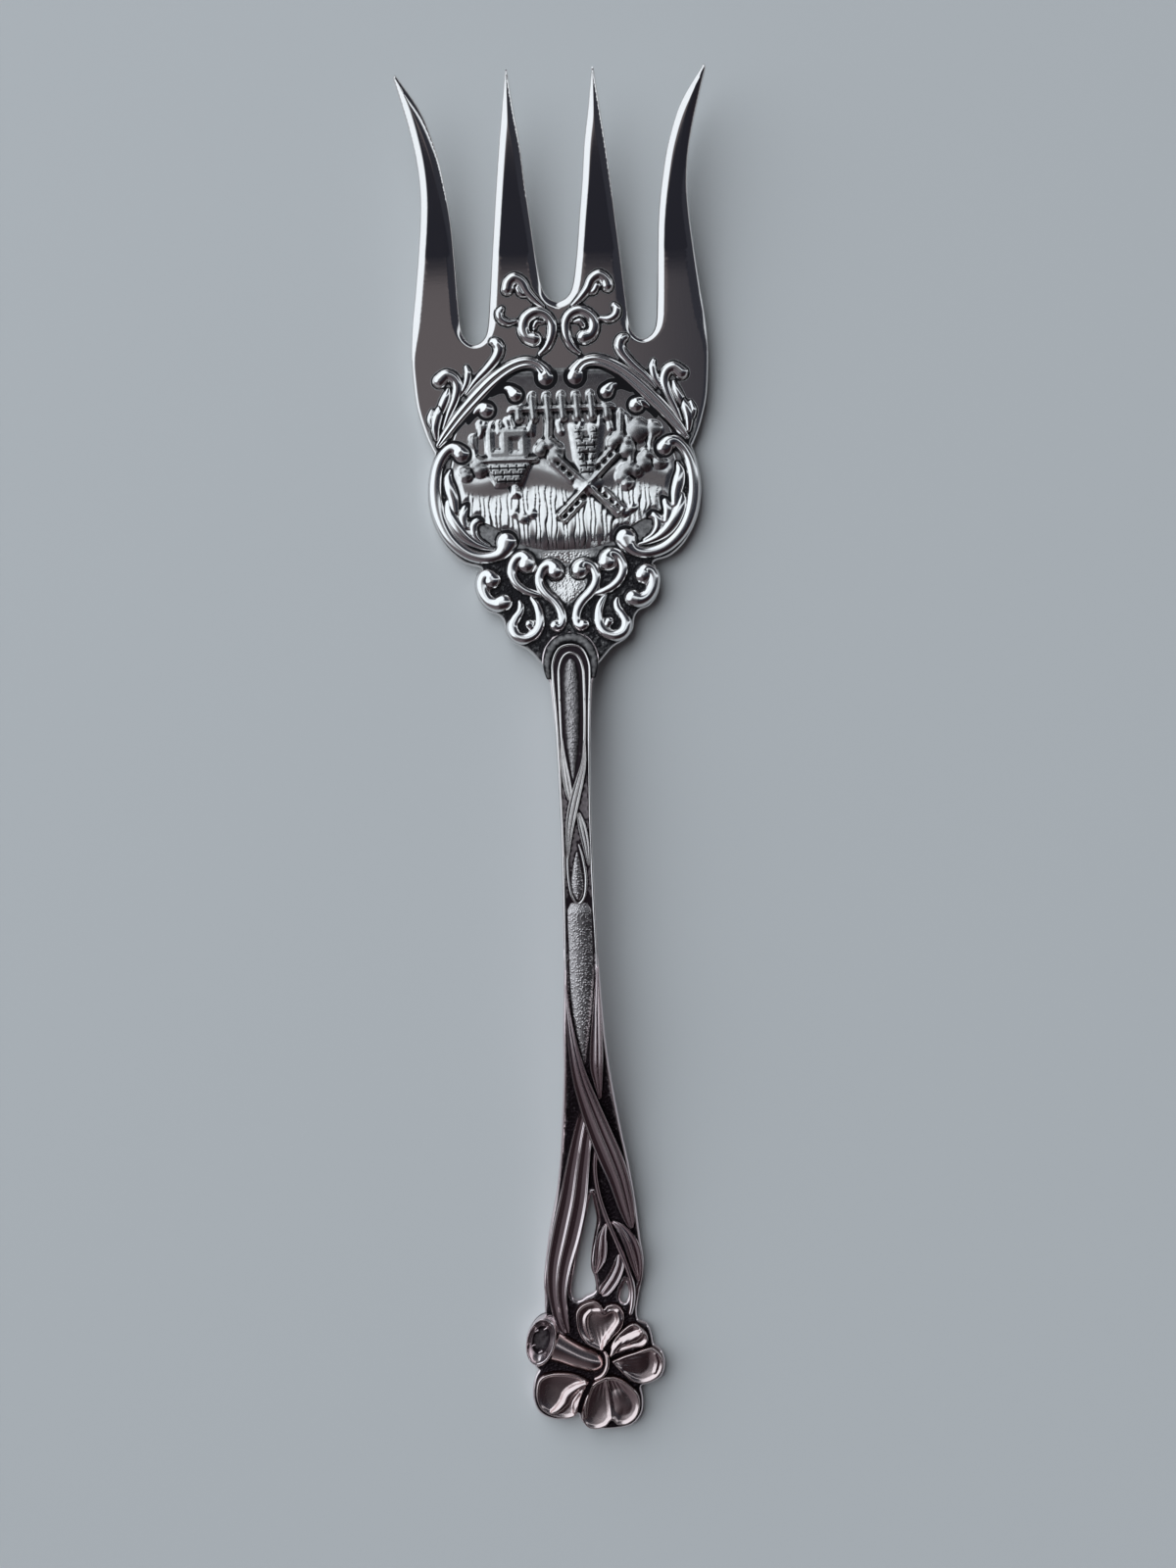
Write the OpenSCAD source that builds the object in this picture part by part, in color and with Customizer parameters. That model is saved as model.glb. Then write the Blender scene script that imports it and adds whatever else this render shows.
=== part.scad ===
// Four-tined serving fork: a scroll-bordered head lap soldered under a beaded handle
// that ends in a pierced flower spray. The back of the bowl and the back of the
// flower rest on the table at z = 0, and the tines point along +Y.

/* [Head] */
// Length of the tines from the outer gap roots to the tips
tine_l = 39; // [30:0.5:46]
// Width across the tips of the outer tines
tine_spread = 46; // [42:0.5:52]
// Length of the bowl from the neck notches to the outer gap roots
bowl_l = 33; // [28:0.5:38]
// Width of the bowl across its border scrolls
bowl_w = 40; // [36:0.5:44]
// Thickness of the head plate
head_t = 2.2; // [1.4:0.1:3]
// Thickness of the tines at their tips
tip_t = 1.2; // [0.8:0.1:1.4]
// Radius of the lengthwise curve of the head, to its back
head_radius = 230; // [180:5:400]

/* [Neck] */
// Length of the neck from the handle's arch to the neck notches
neck_l = 14; // [12:0.5:18]
// Width of the neck across its side volutes
neck_w = 27; // [24:0.5:31]
// Length of the head's tongue under the handle
lap_l = 6.5; // [4:0.5:10]

/* [Handle] */
// Length of the beaded shank
shank_l = 60; // [50:1:80]
// Width of the shank at its narrowest
shank_w = 4.6; // [4:0.1:6]
// Thickness of the handle over the head's tongue
lap_t = 1; // [0.7:0.1:1.6]
// Height of the handle's arch above the table
arch_h = 3.5; // [1:0.5:8]

/* [Flower spray] */
// Length of the crossing blades and the stalk
spray_l = 36; // [30:1:44]
// Length of the flower along the fork
flower_l = 20; // [17:0.5:24]
// Width of the flower
flower_w = 20.6; // [18:0.2:24]
// Thickness of the plate under the spray and the flower
spray_t = 1.8; // [1.2:0.1:2.6]

/* [Ornament] */
// Height of the main scrolls above their plate
scroll_h = 1.1; // [0.8:0.1:2]
// Height of the leaves and lesser curls
leaf_h = 0.9; // [0.6:0.1:1.6]
// Height of the beads along the shank
bead_h = 0.5; // [0.3:0.1:0.9]
// Height of the stippled panels at their crown
panel_h = 0.4; // [0.2:0.1:0.7]
// Height of the crossing blades
blade_h = 1.3; // [0.8:0.1:2]
// Height of the petals
petal_h = 1.5; // [0.9:0.1:2.2]
// Height of the flower's trumpet
trumpet_h = 2.8; // [1.8:0.1:4]
// Thickness of the scene plaque
plaque_t = 0.35; // [0.2:0.05:0.6]
// Height of the raised scene above the plaque
relief_h = 0.6; // [0.3:0.1:1]
// Solder gap under every applied piece
solder_gap = 0.02; // [0.01:0.01:0.05]

/* [Hidden] */

// Places along the fork, from the flower to the tips, with the middle of its length at y = 0
total_l = flower_l + spray_l + shank_l + neck_l + bowl_l + tine_l;
flower_y = -total_l / 2 + flower_l / 2;
heel_y = -total_l / 2 + flower_l;
spray_y = heel_y + spray_l;
throat_y = spray_y + shank_l;
bowl_y = throat_y + neck_l;
root_y = bowl_y + bowl_l;
tip_y = root_y + tine_l;
rest_y = bowl_y + bowl_l / 3;
lap_y = throat_y - lap_l;
crest_y = (lap_y + heel_y) / 2;

// Sizes at which the ornament was drawn, across and along
tine_draft = [46, 37];
bowl_draft = [40, 33];
neck_draft = [27, 14];
shank_draft = [4.6, 60];
spray_draft = [20.6, 36];
flower_draft = [20.6, 20];

// Smoothness of plate outlines, of strokes and of the long curve of the head
outline_steps = 2;
stroke_steps = 3;
profile_step = 2;
curve_facets = 720;
tip_w = 0.1;
cut_h = 40;
cut_w = 80;
silver = [0.76, 0.75, 0.73];
dark_silver = [0.45, 0.44, 0.43];
warm_silver = [0.66, 0.6, 0.58];

// Moves drawn points to their section of the fork; a third number is a half-width
function fit(knots, y, size, draft) =
    let (sx = size[0] / draft[0], sy = size[1] / draft[1])
    [for (p = knots) len(p) == 3
        ? [p[0] * sx, y + p[1] * sy, p[2] * min(sx, sy)]
        : [p[0] * sx, y + p[1] * sy]];
function on_tines(k) = fit(k, root_y, [tine_spread, tine_l], tine_draft);
function on_bowl(k) = fit(k, bowl_y, [bowl_w, bowl_l], bowl_draft);
function on_neck(k) = fit(k, throat_y, [neck_w, neck_l], neck_draft);
function on_shank(k) = fit(k, throat_y, [shank_w, shank_l], shank_draft);
function on_spray(k) = fit(k, spray_y, [flower_w, spray_l], spray_draft);
function on_flower(k) = fit(k, flower_y, [flower_w, flower_l], flower_draft);

// Smooth curve through the knots, with a number of steps to each span
function spline(a, b, c, d, s) =
    0.5 * (2 * b + (c - a) * s + (2 * a - 5 * b + 4 * c - d) * s ^ 2 + (3 * b - a - 3 * c + d) * s ^ 3);
function curve(k, steps) =
    let (n = len(k) - 1)
    [for (i = [0 : n - 1]) for (j = [0 : steps - 1])
        spline(k[max(i - 1, 0)], k[i], k[i + 1], k[min(i + 2, n)], j / steps), k[n]];
function mirrored(k) = [for (i = [len(k) - 1 : -1 : 0]) [-k[i][0], k[i][1]]];

// Cubic ease from height a with slope ma to height b with slope mb over a span
function ease(a, ma, b, mb, span, s) =
    a * (2 * s ^ 3 - 3 * s ^ 2 + 1) + ma * span * (s ^ 3 - 2 * s ^ 2 + s)
    + b * (3 * s ^ 2 - 2 * s ^ 3) + mb * span * (s ^ 3 - s ^ 2);

// Height of the back of the fork above the table
function head_arc(y, inset) = head_radius - sqrt((head_radius - inset) ^ 2 - (y - rest_y) ^ 2);
lap_slope = (rest_y - lap_y) / sqrt(head_radius ^ 2 - (rest_y - lap_y) ^ 2);
function back(y) =
    y >= lap_y ? head_arc(y, 0)
    : y >= crest_y ? ease(head_arc(lap_y, 0), lap_slope, arch_h, 0, lap_y - crest_y,
        (lap_y - y) / (lap_y - crest_y))
    : y >= heel_y ? ease(arch_h, 0, 0, 0, crest_y - heel_y, (crest_y - y) / (crest_y - heel_y))
    : 0;

// The handle thins from the shank to the spray over the upper half of the blades
handle_t = head_t + lap_t;
thin_l = spray_l / 2;
function handle_thick(y) =
    let (s = min(max((spray_y - y) / thin_l, 0), 1))
    ease(handle_t, 0, spray_t, 0, thin_l, s);
function handle_top(y) = y >= lap_y ? head_arc(y, head_t) + lap_t : back(y) + handle_thick(y);

// Seats: where an applied piece sits at a place along the fork
head_seat = function (y) head_arc(y, head_t) + solder_gap;
handle_seat = function (y) handle_top(y) + solder_gap;

// A raised stroke with a flat foot and a ridged back, along [x, y, half-width] knots
stroke_section = [[-1, 0], [-0.74, 0.7], [0, 1], [0.74, 0.7], [1, 0]];
function unit(v) = v / norm(v);
function flat(p) = [p[0], p[1]];
module stroke(knots, height, seat, closed = false) {
    drawn = curve(knots, stroke_steps);
    path = closed ? [for (i = [0 : len(drawn) - 2]) drawn[i]] : drawn;
    n = len(path);
    m = len(stroke_section);
    widest = max([for (p = path) p[2]]);
    points = [for (i = [0 : n - 1]) let (
        a = closed ? path[(i + n - 1) % n] : path[max(i - 1, 0)],
        b = closed ? path[(i + 1) % n] : path[min(i + 1, n - 1)],
        way = unit(flat(b) - flat(a)),
        half = max(path[i][2], tip_w),
        rise = height * sqrt(half / widest))
        for (s = stroke_section) let (p = flat(path[i]) + [way[1], -way[0]] * s[0] * half)
            [p[0], p[1], seat(p[1]) + s[1] * rise]];
    sides = [for (i = [0 : closed ? n - 1 : n - 2]) for (j = [0 : m - 1])
        [i * m + j, (i + 1) % n * m + j, (i + 1) % n * m + (j + 1) % m, i * m + (j + 1) % m]];
    ends = closed ? [] : [[for (j = [0 : m - 1]) j], [for (j = [m - 1 : -1 : 0]) (n - 1) * m + j]];
    polyhedron(points, concat(sides, ends));
}
module head_stroke(knots, height) stroke(knots, height, head_seat);
module handle_stroke(knots, height) stroke(knots, height, handle_seat);

// The part of an upright prism between two heights above the head plate
module head_layer(from, to)
    intersection() {
        translate([0, 0, -1]) linear_extrude(cut_h) children();
        translate([0, rest_y, head_radius]) rotate([0, 90, 0]) difference() {
            cylinder(r = head_radius - head_t - from, h = cut_w, center = true, $fn = curve_facets);
            cylinder(r = head_radius - head_t - to, h = cut_w + 2, center = true, $fn = curve_facets);
        }
    }

// Half outline of the head, on its right, from the tongue to the middle gap
tongue_w = 4.4;
tongue_edge = [[tongue_w * neck_w / neck_draft[0] / 2, lap_y]];
neck_edge = curve(on_neck([[2.6, -2.6], [4.3, -1], [6.3, 1.2], [8.3, 2.4], [9.5, 3.9], [9.8, 5.6],
    [10.6, 6.7], [12.2, 7.4], [13.5, 9.2], [13.9, 11.3], [13.5, 13], [12.8, 13.7]]), outline_steps);
border_edge = curve(on_bowl([[13.4, 0.1], [15.6, 0.8], [17.8, 2.8], [19.6, 6], [20.4, 9.2],
    [20.5, 12], [20, 15], [19.3, 17.2]]), outline_steps);
shoulder_edge = curve(concat(
    on_bowl([[19.5, 17.4], [20.6, 20], [21.7, 24], [22.1, 28]]),
    on_tines([[22.2, -1], [21.9, 3], [21.3, 7], [20.6, 12], [20, 17], [19.8, 21], [20.1, 25],
        [20.9, 29], [22, 33], [23, 36.4]])), outline_steps);
outer_gap_edge = curve(on_tines([[22.6, 36.8], [19.2, 32], [17.2, 27], [16.1, 22], [15.4, 17],
    [15.1, 12], [14.9, 7], [14.6, 2.6], [13.9, 0.9], [12.6, 0.2], [11.3, 0.9], [10.6, 2.6],
    [10.1, 7], [9.6, 12], [9.05, 17], [8.5, 22], [7.9, 27], [7.2, 32], [6.5, 36.9]]), outline_steps);
middle_gap_edge = curve(on_tines([[6.2, 37], [5.5, 32], [4.7, 27], [4.2, 22], [3.6, 17], [3, 12],
    [2.3, 8], [1.4, 6.4], [0, 5.7]]), outline_steps);
head_half = concat(tongue_edge, neck_edge, border_edge, shoulder_edge, outer_gap_edge,
    [for (i = [0 : len(middle_gap_edge) - 2]) middle_gap_edge[i]]);
head_outline = concat(head_half, [middle_gap_edge[len(middle_gap_edge) - 1]], mirrored(head_half));

// The tines thin towards their tips along a flat on their upper side
taper_y = root_y + tine_l / 3;
tip_past = tip_y + 1;
tip_cut = [[taper_y, head_arc(taper_y, head_t)], [tip_past, head_arc(tip_past, 0) + tip_t],
    [tip_past, cut_h], [taper_y, cut_h]];
module across(points) rotate([90, 0, 90]) linear_extrude(cut_w, center = true) polygon(points);
module tined_head()
    color(silver) difference() {
        head_layer(-head_t, 0) polygon(head_outline);
        across(tip_cut);
    }

// The scene plaque fills the bowl between the scrolls; its picture stands with its foot
// towards the tines, so that it is upright when the fork is held with the tines down
plaque_half = curve(on_bowl([[0, 2.3], [4, 2.7], [6.2, 3.3], [7.1, 4.4], [7.5, 5.6], [9, 6.2],
    [10.8, 5.7], [11.3, 6.8], [11.5, 8.1], [12.6, 8.8], [14.4, 9.1], [15.5, 11], [15.5, 13.4],
    [14.8, 15.4], [14.2, 17], [14.6, 18.8], [14, 20.4], [12.4, 21.2], [10.2, 21], [8.9, 22.3],
    [7.6, 24.2], [5.4, 24.2], [4.2, 25.4], [2.6, 25.9], [0, 26.2]]), outline_steps);
module scene_plaque()
    color(dark_silver)
        head_layer(solder_gap, plaque_t) polygon(concat(plaque_half, mirrored(plaque_half)));

module on_plaque(height = relief_h)
    head_layer(plaque_t + solder_gap, plaque_t + solder_gap + height) children();
module drawn(points) polygon(on_bowl(points));

// Tower mill with four lattice sails
mill_hub = [3.4, 11.4];
sail_from = 3;
sail_to = 6.4;
sail_half = 0.55;
module scene_mill() color(silver) {
    on_plaque() drawn([[1, 20], [5.8, 20], [5, 12.8], [4.4, 11], [3.4, 10.3], [2.4, 11], [1.8, 12.8]]);
    for (turn = [45 : 90 : 315])
        let (way = [cos(turn), sin(turn)], side = [-way[1], way[0]] * sail_half)
        on_plaque() drawn([mill_hub + way * sail_from - side, mill_hub + way * sail_to - side,
            mill_hub + way * sail_to + side, mill_hub + way * sail_from + side]);
}

// Cottage with a pitched roof and a chimney
module scene_cottage() color(silver) {
    on_plaque() drawn([[-11.4, 20], [-5.2, 20], [-5.2, 15.4], [-11.4, 15.4]]);
    on_plaque() drawn([[-12, 15.3], [-4.6, 15.3], [-6.4, 12], [-6.8, 12], [-6.8, 11], [-7.8, 11],
        [-7.8, 12], [-10.4, 12]]);
}

// Round-headed trees, each a trunk and a crown
tree_places = [[-13.4, 14.2], [9.6, 12.2], [12.6, 14.6]];
crown_r = 1.5;
crown_turn = 15;
trunk_w = 0.6;
trunk_l = 3;
tree_gap = 0.05;
function box_at(p, size) = [p, p + [size[0], 0], p + size, p + [0, size[1]]];
module scene_trees()
    color(silver) for (place = tree_places) {
        on_plaque() drawn([for (turn = [0 : crown_turn : 359]) place + crown_r * [cos(turn), sin(turn)]]);
        on_plaque() drawn(box_at(place + [-trunk_w / 2, crown_r + tree_gap], [trunk_w, trunk_l]));
    }

// Plank fence along the foot of the picture
fence_posts = 9;
fence_pitch = 1.3;
post_w = 0.8;
post_l = 2.6;
fence_v = 21;
module scene_fence()
    color(silver) for (i = [0 : fence_posts - 1])
        on_plaque() drawn(box_at([(i - (fence_posts - 1) / 2) * fence_pitch - post_w / 2, fence_v],
            [post_w, post_l]));

module border_scroll_right()
    color(silver) head_stroke(on_bowl([[15.2, 16.6, 0.35], [15.9, 17.1, 0.75], [17.1, 17.1, 0.75],
        [18.5, 15.8, 0.7], [19.2, 13.5, 0.75], [19.5, 11, 0.8], [19.3, 8.5, 0.85], [18.4, 6, 0.85],
        [17, 3.7, 0.8], [15, 2, 0.75], [12.6, 1.3, 0.7], [10.5, 1.5, 0.7], [9, 2.4, 0.75],
        [8.6, 3.5, 0.85], [9, 4.5, 0.7], [9.5, 4.9, 0.3]]), scroll_h);
module border_scroll_left() mirror([1, 0, 0]) border_scroll_right();

module border_leaf_right() color(silver) {
    head_stroke(on_bowl([[11.8, 2.9, 0.3], [13.6, 3.3, 0.65], [15.2, 4.7, 0.8], [16.3, 6.6, 0.9],
        [17, 9, 0.9], [17.1, 11.5, 0.7], [16.8, 13.6, 0.25]]), leaf_h);
    head_stroke(on_bowl([[13, 4.8, 0.2], [13.9, 5.9, 0.45], [13.8, 7.1, 0.5], [12.9, 7.6, 0.4],
        [12.2, 7.2, 0.25]]), leaf_h);
}
module border_leaf_left() mirror([1, 0, 0]) border_leaf_right();

module arch_scroll_right()
    color(silver) head_stroke(on_bowl([[18.3, 18.6, 0.4], [17, 20.2, 0.75], [14.9, 22.6, 0.9],
        [12.4, 25.3, 0.95], [9.9, 27.8, 0.95], [7.3, 29.7, 0.9], [4.8, 30.4, 0.8], [2.6, 29.9, 0.8],
        [1.5, 28.6, 0.8], [1.6, 27.5, 0.75], [2.1, 26.9, 0.35]]), scroll_h);
module arch_scroll_left() mirror([1, 0, 0]) arch_scroll_right();

module arch_tendril_right()
    color(silver) head_stroke(on_bowl([[14.2, 25.9, 0.2], [12.7, 27.7, 0.4], [10.9, 29.4, 0.5],
        [9.4, 31, 0.6], [8.8, 32.3, 0.6], [9.1, 33.1, 0.5], [9.6, 33.5, 0.2]]), leaf_h);
module arch_tendril_left() mirror([1, 0, 0]) arch_tendril_right();

module inner_curls_right() color(silver) {
    head_stroke(on_bowl([[13.6, 21.6, 0.2], [12.3, 23, 0.4], [11.2, 23.6, 0.65], [10.3, 23.2, 0.8],
        [9.8, 22.6, 0.4]]), leaf_h);
    head_stroke(on_bowl([[9.9, 25.4, 0.2], [8.4, 26.6, 0.4], [7, 26.9, 0.55], [6, 26.2, 0.65],
        [5.7, 25.5, 0.3]]), leaf_h);
}
module inner_curls_left() mirror([1, 0, 0]) inner_curls_right();

module shoulder_curl_right()
    color(silver) head_stroke(on_bowl([[17.9, 21.6, 0.2], [16.9, 23.3, 0.4], [15.9, 25.3, 0.55],
        [15.5, 27.2, 0.65], [16.1, 28.6, 0.65], [17.4, 28.9, 0.6], [18.4, 28.1, 0.55],
        [18.5, 27.1, 0.4]]), leaf_h);
module shoulder_curl_left() mirror([1, 0, 0]) shoulder_curl_right();

module shoulder_leaf_right()
    color(silver) head_stroke(on_bowl([[19, 19.9, 0.2], [19, 21.6, 0.5], [18.5, 23.4, 0.65],
        [17.8, 25, 0.5], [17.4, 26.2, 0.2]]), leaf_h);
module shoulder_leaf_left() mirror([1, 0, 0]) shoulder_leaf_right();

module crown_scroll_right()
    color(silver) head_stroke(on_tines([[2.9, -1.4, 0.3], [1.7, -0.4, 0.5], [1, 1.2, 0.55],
        [1, 2.9, 0.55], [1.9, 4.2, 0.55], [3.4, 4.5, 0.55], [4.8, 3.7, 0.55], [5.4, 2.2, 0.6],
        [4.7, 0.8, 0.65], [3.6, 0.6, 0.65], [3, 1.2, 0.4]]), leaf_h);
module crown_scroll_left() mirror([1, 0, 0]) crown_scroll_right();

module crown_leaf_right() color(silver) {
    head_stroke(on_tines([[2.3, 5.4, 0.25], [3.6, 6.5, 0.45], [4.6, 7.9, 0.55], [5.4, 9.2, 0.6],
        [6.6, 9.5, 0.55], [7.4, 8.6, 0.5], [7.4, 7.4, 0.4]]), leaf_h);
    head_stroke(on_tines([[6.6, 3.4, 0.25], [7.6, 3.1, 0.4], [8.6, 3.6, 0.45], [8.9, 4.5, 0.4],
        [8.4, 5.2, 0.25]]), leaf_h);
}
module crown_leaf_left() mirror([1, 0, 0]) crown_leaf_right();

module heart_scroll_right()
    color(silver) head_stroke(on_neck([[1.3, 12.3, 0.35], [1.4, 13.3, 0.6], [2.2, 14.3, 0.65],
        [3.4, 14.1, 0.6], [4.2, 12.8, 0.55], [4.1, 11, 0.55], [3.1, 9.1, 0.55], [1.8, 7.5, 0.5],
        [1.15, 5.9, 0.45], [1.35, 4.8, 0.45], [2.1, 4.5, 0.5], [2.7, 4.8, 0.25]]), scroll_h);
module heart_scroll_left() mirror([1, 0, 0]) heart_scroll_right();

module neck_scroll_right()
    color(silver) head_stroke(on_neck([[5.3, 14, 0.4], [5.5, 15, 0.6], [6.5, 15.6, 0.65],
        [7.7, 15.1, 0.6], [8.4, 13.7, 0.6], [8.2, 12, 0.55], [7.2, 10.6, 0.5], [5.8, 9.7, 0.45],
        [4.6, 9.4, 0.25]]), scroll_h);
module neck_scroll_left() mirror([1, 0, 0]) neck_scroll_right();

module neck_loop_right()
    color(silver) head_stroke(on_neck([[5.6, 8.7, 0.25], [4.9, 7.4, 0.45], [4.6, 5.8, 0.45],
        [4.8, 4.3, 0.45], [5.8, 3.3, 0.45], [7.2, 3, 0.5], [8.5, 3.7, 0.55], [8.7, 5.1, 0.55],
        [8, 6.3, 0.5], [7.3, 7.3, 0.55], [7, 8.2, 0.65], [7, 8.9, 0.3]]), scroll_h);
module neck_loop_left() mirror([1, 0, 0]) neck_loop_right();

module side_volute_right()
    color(silver) head_stroke(on_neck([[10.8, 12.1, 0.35], [11.5, 12.6, 0.6], [12.5, 12.4, 0.6],
        [12.9, 11.3, 0.55], [12.7, 9.9, 0.55], [11.9, 8.5, 0.55], [10.7, 7.9, 0.55],
        [9.7, 8.2, 0.6], [9.2, 9, 0.6], [9.3, 9.8, 0.3]]), scroll_h);
module side_volute_left() mirror([1, 0, 0]) side_volute_right();

// Outline of the handle plate: the arched end and the shank on its right, then the
// spray and the flower all round, and the shank again on its left
arch_edge = curve(on_neck([[0, 3.7], [2.5, 3], [3.8, 1.3], [4.2, -0.5], [3.8, -2.2], [3.1, -4]]),
    outline_steps);
shank_edge = curve(on_shank([[2.8, -8], [2.4, -16], [2.3, -26], [2.4, -36], [2.6, -46],
    [3.1, -56]]), outline_steps);
spray_right_edge = curve(on_spray([[3.6, -1], [4.3, -6], [5.1, -11], [6, -16], [6.7, -21],
    [7.1, -25], [7.4, -28], [7.7, -30.5], [7.5, -33], [6.9, -35.4]]), outline_steps);
flower_edge = concat(
    curve(on_flower([[6.4, 8], [6.6, 6.3], [7.9, 5.6], [8.5, 4.2], [8.7, 2.8]]), outline_steps),
    curve(on_flower([[8.9, 2.4], [10, 1.4], [10.4, -0.4], [9.8, -2.3], [8.2, -3.3], [6.8, -3.6]]),
        outline_steps),
    curve(on_flower([[6.6, -4], [6.9, -5.6], [6.6, -7.8], [5, -9.5], [2, -10], [-0.8, -9.8],
        [-2.4, -8.7], [-2.8, -7.6]]), outline_steps),
    curve(on_flower([[-3, -7.5], [-4.6, -8.3], [-6.8, -8.2], [-8.8, -7], [-9.6, -4.7], [-9.3, -2.2],
        [-8.6, -0.8]]), outline_steps),
    curve(on_flower([[-9, -0.4], [-10, 1.4], [-10.3, 3.6], [-9.7, 5.6], [-8.6, 6.9], [-7.4, 7.5]]),
        outline_steps));
spray_left_edge = curve(on_spray([[-7.3, -35.4], [-7.3, -33], [-6.8, -29], [-6.1, -25], [-5.1, -20.5],
    [-4.4, -16], [-3.9, -11], [-3.5, -6], [-3.2, -1]]), outline_steps);
handle_outline = concat(arch_edge, shank_edge, spray_right_edge, flower_edge, spray_left_edge,
    mirrored(shank_edge), mirrored([for (i = [1 : len(arch_edge) - 1]) arch_edge[i]]));
teardrop = curve(on_spray([[0.3, -20.2], [0.6, -22], [0.9, -24.3], [0.5, -26.5], [0, -29],
    [-0.2, -31.5], [0.3, -33.2], [0.3, -35.2], [-1.1, -36], [-2.4, -36.6], [-3.2, -35.8],
    [-3.2, -34], [-2.3, -30], [-1.1, -25.5], [-0.1, -21.5], [0.3, -20.2]]), outline_steps);
eyelet = curve(on_spray([[4.9, -33.8], [5.3, -35], [5.2, -36.5], [4.6, -37.2], [4, -36.6],
    [4.2, -35.2], [4.9, -33.8]]), outline_steps);

// Side view of the handle: over the tongue of the head, then down to the table
profile_n = ceil(total_l / profile_step);
profile_y = [for (i = [0 : profile_n]) tip_y - total_l * i / profile_n];
arch_end_y = arch_edge[0][1];
over_lap = [for (y = profile_y) if (y > lap_y && y < arch_end_y + profile_step) y];
past_lap = [for (y = profile_y) if (y < lap_y - solder_gap) y];
lap_face_y = lap_y - solder_gap;
handle_profile = concat(
    [for (y = over_lap) [y, handle_top(y)]],
    [[lap_face_y, handle_top(lap_face_y)]],
    [for (y = past_lap) [y, handle_top(y)]],
    [for (i = [len(past_lap) - 1 : -1 : 0]) [past_lap[i], back(past_lap[i])]],
    [[lap_face_y, back(lap_face_y)], [lap_face_y, head_seat(lap_face_y)]],
    [for (i = [len(over_lap) - 1 : -1 : 0]) [over_lap[i], head_seat(over_lap[i])]]);
module handle_plate()
    color(warm_silver) intersection() {
        translate([0, 0, -1]) linear_extrude(cut_h) difference() {
            polygon(handle_outline);
            polygon(teardrop);
            polygon(eyelet);
        }
        across(handle_profile);
    }

module throat_arch()
    color(warm_silver) handle_stroke(on_neck([[-3.4, -2.8, 0.25], [-3.6, -1.4, 0.45], [-3.5, 0.2, 0.5],
        [-2.3, 2.2, 0.55], [0, 3.05, 0.55], [2.3, 2.2, 0.55], [3.5, 0.2, 0.5], [3.6, -1.4, 0.45],
        [3.4, -2.8, 0.25]]), scroll_h / 2);

module edge_bead()
    color(warm_silver) handle_stroke(on_shank([[-2.2, -46, 0.15], [-2.05, -36, 0.25], [-2, -26, 0.25],
        [-2.1, -16, 0.25], [-2.45, -8, 0.25], [-2.75, -3, 0.25], [-2.6, -0.5, 0.25], [-1.6, 1.2, 0.25],
        [0, 1.8, 0.25], [1.6, 1.2, 0.25], [2.6, -0.5, 0.25], [2.75, -3, 0.25], [2.45, -8, 0.25],
        [2.1, -16, 0.25], [2, -26, 0.25], [2.05, -36, 0.25], [2.25, -45, 0.2]]), bead_h);

module bead_loop()
    color(warm_silver) handle_stroke(on_shank([[-0.7, -17.2, 0.15], [-1.2, -14, 0.2], [-1.6, -9, 0.22],
        [-1.75, -4, 0.22], [-1.3, -0.6, 0.22], [0, 0.7, 0.22], [1.3, -0.6, 0.22], [1.7, -4, 0.22],
        [1.6, -9, 0.22], [1.2, -14, 0.22], [0.5, -17.5, 0.22], [-0.5, -20.5, 0.22], [-1.15, -24, 0.22],
        [-1.45, -28, 0.22], [-1.4, -32, 0.22], [-1, -35.6, 0.22], [0, -37, 0.22], [1, -35.4, 0.22],
        [1.2, -32.5, 0.22], [0.8, -30, 0.2], [0.1, -27.7, 0.15]]), bead_h);

module bead_tail()
    color(warm_silver) handle_stroke(on_shank([[0.6, -22.2, 0.15], [1, -24, 0.25], [1.4, -26.5, 0.25],
        [1.55, -29, 0.15]]), bead_h);

module upper_panel()
    color(dark_silver) handle_stroke(on_shank([[0, -0.3, 0.4], [0, -1.2, 0.85], [0, -3, 1.1],
        [-0.02, -7, 1.05], [-0.05, -11, 0.8], [-0.2, -15, 0.4], [-0.3, -17.4, 0.12]]), panel_h);

module drop_panel()
    color(dark_silver) handle_stroke(on_shank([[-0.1, -29.4, 0.15], [-0.15, -31.5, 0.45],
        [-0.15, -33.5, 0.65], [-0.05, -35, 0.5], [0, -35.9, 0.15]]), panel_h);

module lower_panel()
    color(warm_silver) handle_stroke(on_shank([[0, -38, 1], [0, -39.2, 1.5], [0, -42, 1.6],
        [0, -46, 1.55], [-0.05, -50, 1.2], [-0.1, -54, 0.75], [-0.15, -57.5, 0.35], [-0.15, -59.6, 0.12]]),
        panel_h);

module right_blade()
    color(warm_silver) handle_stroke(on_spray([[-2.4, 10.6, 0.15], [-2.2, 6, 0.4], [-1.7, 1, 0.85],
        [-0.6, -3.5, 1.35], [0.5, -7, 1.7], [1.9, -11, 1.9], [3.2, -14.5, 1.9], [4.4, -18, 1.6],
        [5.3, -22, 1.3], [5.8, -24.4, 0.75], [6.1, -25.6, 0.2]]), blade_h);

module left_blade_upper()
    color(warm_silver) handle_stroke(on_spray([[2.2, 12, 0.15], [1.85, 8, 0.45], [1.6, 3.5, 0.75],
        [1.5, 0, 0.9], [1.65, -2.2, 0.7], [1.85, -3.8, 0.4], [2, -4.8, 0.15]]), blade_h);

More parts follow.
